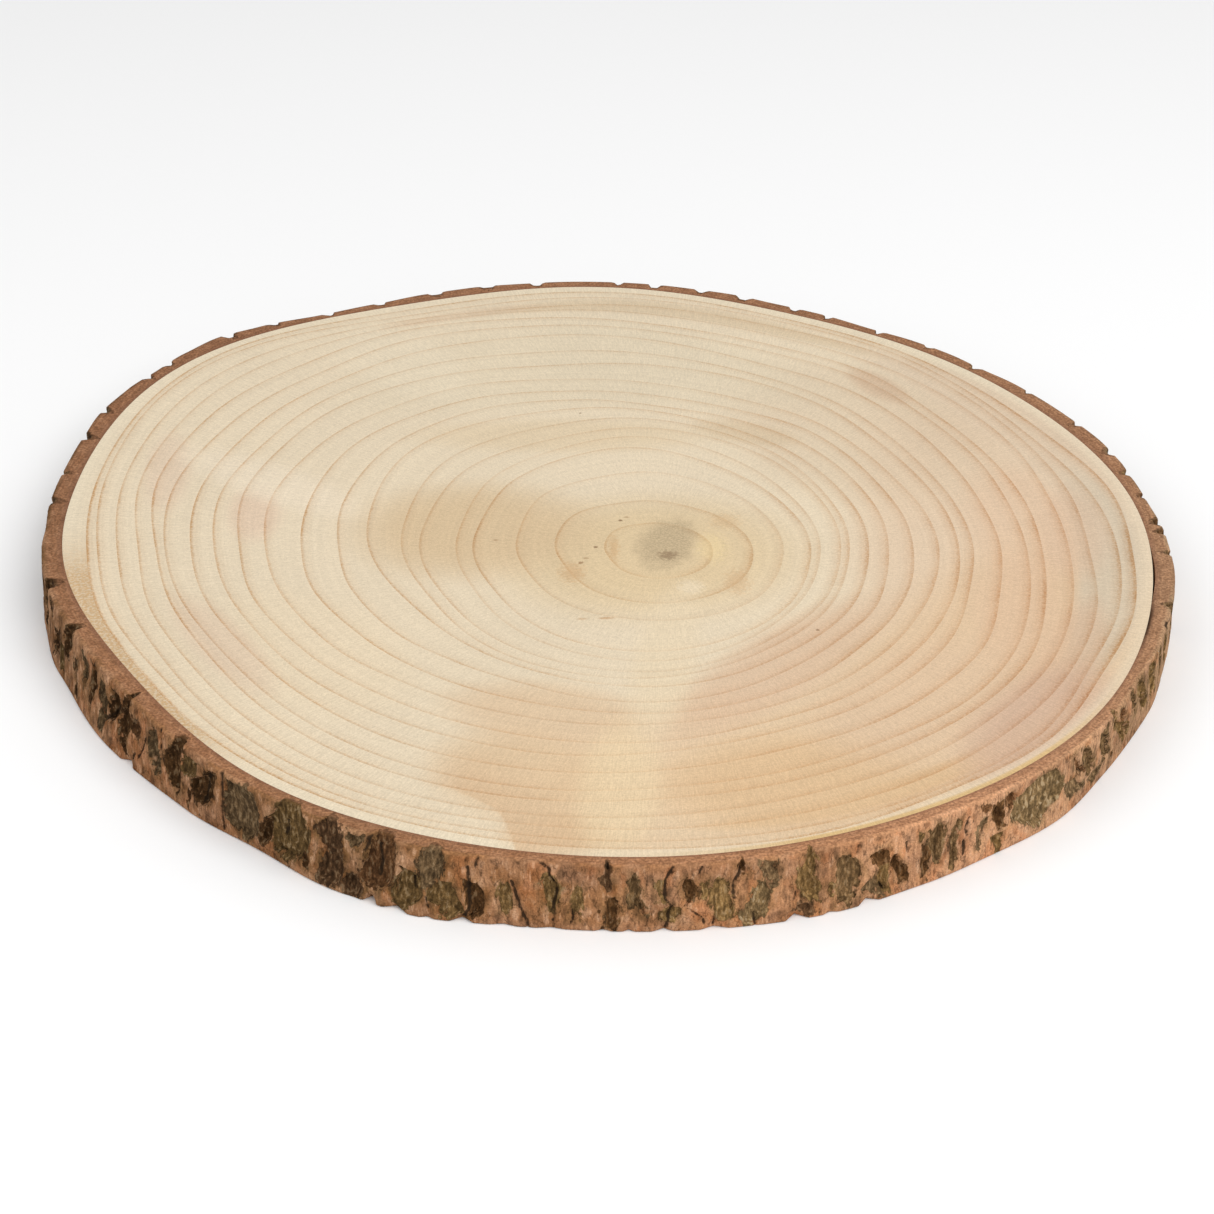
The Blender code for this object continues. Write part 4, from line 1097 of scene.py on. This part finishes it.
def bark_material():
    shader = Shader("bark")
    noise, ramp, times, plus, swing = shader.noise, shader.ramp, shader.times, shader.plus, shader.swing
    mix, paint, attribute = shader.mix, shader.paint, shader.attribute
    where = shader.position()
    mottle = noise(where, 420, 6.0, 0.5)
    flake = noise(where, 1000, 5.0, 0.45)
    streak = noise(where, 1300, 2.0, 0.16)
    grit = noise(where, 2200)
    jag = noise(where, 900, 5.0, 0.6)
    vein = shader.math("ABSOLUTE", shader.math("SUBTRACT", noise(where, 260, 4.0, 0.4), 0.5))
    tint = attribute("tint", "Color")

    # Ridges, with rusty and pale patches, thin dark veins, and darker and more olive towards the furrows
    inside = attribute("within")
    ridge = paint(ramp(mottle, 0.52, 0.70, 0.0, 0.5), tint, BARK_FLAKE)
    rust = ramp(noise(where, 170, 3.0, 0.6), 0.5, 0.64, 0.0, 0.6)
    ridge = mix(rust, ridge, shader.vector("MULTIPLY", ridge, RUST_TINT))
    scale = times(ramp(streak, 0.52, 0.62, 0.0, 1.0), ramp(mottle, 0.5, 0.6, 0.0, 0.3))
    ridge = paint(scale, ridge, BARK_SCALE)
    ridge = shader.shaded(
        ridge,
        (mottle, 0.32, 0.48, 0.55, 1.0),
        (flake, 0.30, 0.44, 0.55, 1.0),
        (streak, 0.32, 0.68, 0.86, 1.12),
        (grit, 0.3, 0.7, 0.84, 1.16),
    )
    ridge = shader.lit_by(ridge, shader.rest(times(ramp(vein, 0.0, 0.018, 1.0, 0.0), 0.45)))
    near_furrow = times(ramp(inside, -2.4, 0.0, 0.0, 0.62), ramp(mottle, 0.6, 0.4, 0.3, 1.0))
    ridge = mix(near_furrow, ridge, shader.vector("MULTIPLY", ridge, NEAR_FURROW_TINT))

    floor = shader.shaded(
        attribute("floor", "Color"),
        (flake, 0.32, 0.68, 0.6, 1.5),
        (grit, 0.3, 0.7, 0.8, 1.2),
        (streak, 0.32, 0.68, 0.72, 1.3),
    )
    speck = times(ramp(flake, 0.56, 0.64, 0.0, 1.0), attribute("lichen"))
    floor = paint(speck, floor, LICHEN_TONE)

    # Furrows have ragged edges, with painted shade just inside them along their walls
    coarse = swing(noise(where, 290, 3.0, 0.5), 0.48, 6.5)
    inside = plus(inside, plus(swing(jag, 0.5, 4.2), coarse))
    colour = mix(ramp(inside, -0.3, 0.5, 0.0, 1.0), ridge, floor)
    rim = times(
        ramp(inside, -0.1, 0.2, 0.0, 1.0),
        ramp(inside, 0.25, 0.8, 1.0, 0.0),
        ramp(mottle, 0.4, 0.6, 0.6, 0.1),
    )
    colour = shader.lit_by(colour, shader.rest(rim))
    # Painted shade, near black, inside the cracks
    crack = plus(attribute("beside"), swing(jag, 0.5, 1.2))
    colour = paint(ramp(crack, -0.1, 0.25, 0.9, 0.0), colour, CRACK_SHADE)

    # The sawn upper edge, in layers and grainy, with a band beside the wood
    across = attribute("seam")
    layered = shader.vector("SCALE", where, 160.0)
    layered = shader.vector("ADD", layered, shader.vector("SCALE", (0, 0, 9.0), across))
    topped = shader.shaded(
        tint,
        (noise(layered, 1.0, 3.0), 0.34, 0.66, 0.88, 1.12),
        (noise(where, 1300, 3.0), 0.32, 0.68, 0.72, 1.3),
    )
    topped = paint(ramp(across, 0.6, 0.95, 0.0, 0.45), topped, SEAM_BAND)
    # Painted shade on the upper edge, standing in for the gap beside the wood
    topped = paint(attribute("gap_shade_share"), topped, GAP_SHADE_TONE)
    sunk = ramp(inside, 0.0, 0.4, 1.0, 0.2)
    colour = mix(times(attribute("top"), sunk), colour, topped)
    shader.bumped(plus(plus(flake, mottle), times(grit, 0.5)), 0.0007, 0.7)
    return shader.finish(colour, 0.9, 0.05)


wood = make_wood()
wood.data.materials.append(wood_material())
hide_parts("wood")
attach(wood, "root")

bark = make_bark()
bark.data.materials.append(bark_material())
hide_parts("bark")
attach(bark, "root")

# Camera: where it looks, from the wood's middle, and how far off and how high it stands
LOOKS_AT = (0.001863, -0.021797)
CAMERA_DISTANCE = 0.720
CAMERA_ELEVATION = math.radians(32)
camera = bpy.data.objects.new("camera", bpy.data.cameras.new("camera"))
camera.data.lens = 70
camera.data.sensor_width = 36
camera.location = (
    WOOD_X + LOOKS_AT[0],
    WOOD_Y + LOOKS_AT[1] - CAMERA_DISTANCE * math.cos(CAMERA_ELEVATION),
    CAMERA_DISTANCE * math.sin(CAMERA_ELEVATION),
)
camera.rotation_euler = (math.pi / 2 - CAMERA_ELEVATION, 0, 0)
bpy.context.scene.collection.objects.link(camera)
bpy.context.scene.camera = camera


def make_floor():
    mesh = bpy.data.meshes.new("floor")
    mesh.from_pydata([(-6, -6, 0), (6, -6, 0), (6, 6, 0), (-6, 6, 0)], [], [(0, 1, 2, 3)])
    floor = bpy.data.objects.new("floor", mesh)
    floor.location.z = -0.0002
    bpy.context.scene.collection.objects.link(floor)
    shader = Shader("pale floor")
    mesh.materials.append(shader.finish((0.93, 0.93, 0.93, 1), 0.9, 0.1))


def make_light(name, place, size, energy):
    lamp = bpy.data.lights.new(name, "AREA")
    lamp.shape = "DISK"
    lamp.size = size
    lamp.energy = energy
    made = bpy.data.objects.new(name, lamp)
    made.location = place
    made.rotation_euler = (-made.location).to_track_quat("-Z", "Y").to_euler()
    bpy.context.scene.collection.objects.link(made)


make_floor()
make_light("key", (0.9, -0.9, 1.5), 1.6, 22)
make_light("fill", (-1.2, -0.7, 1.2), 1.6, 7)
world = bpy.data.worlds.new("studio")
world.use_nodes = True
world.node_tree.nodes["Background"].inputs["Color"].default_value = (1, 1, 1, 1)
world.node_tree.nodes["Background"].inputs["Strength"].default_value = 0.62
bpy.context.scene.world = world
bpy.context.scene.view_settings.view_transform = "Standard"
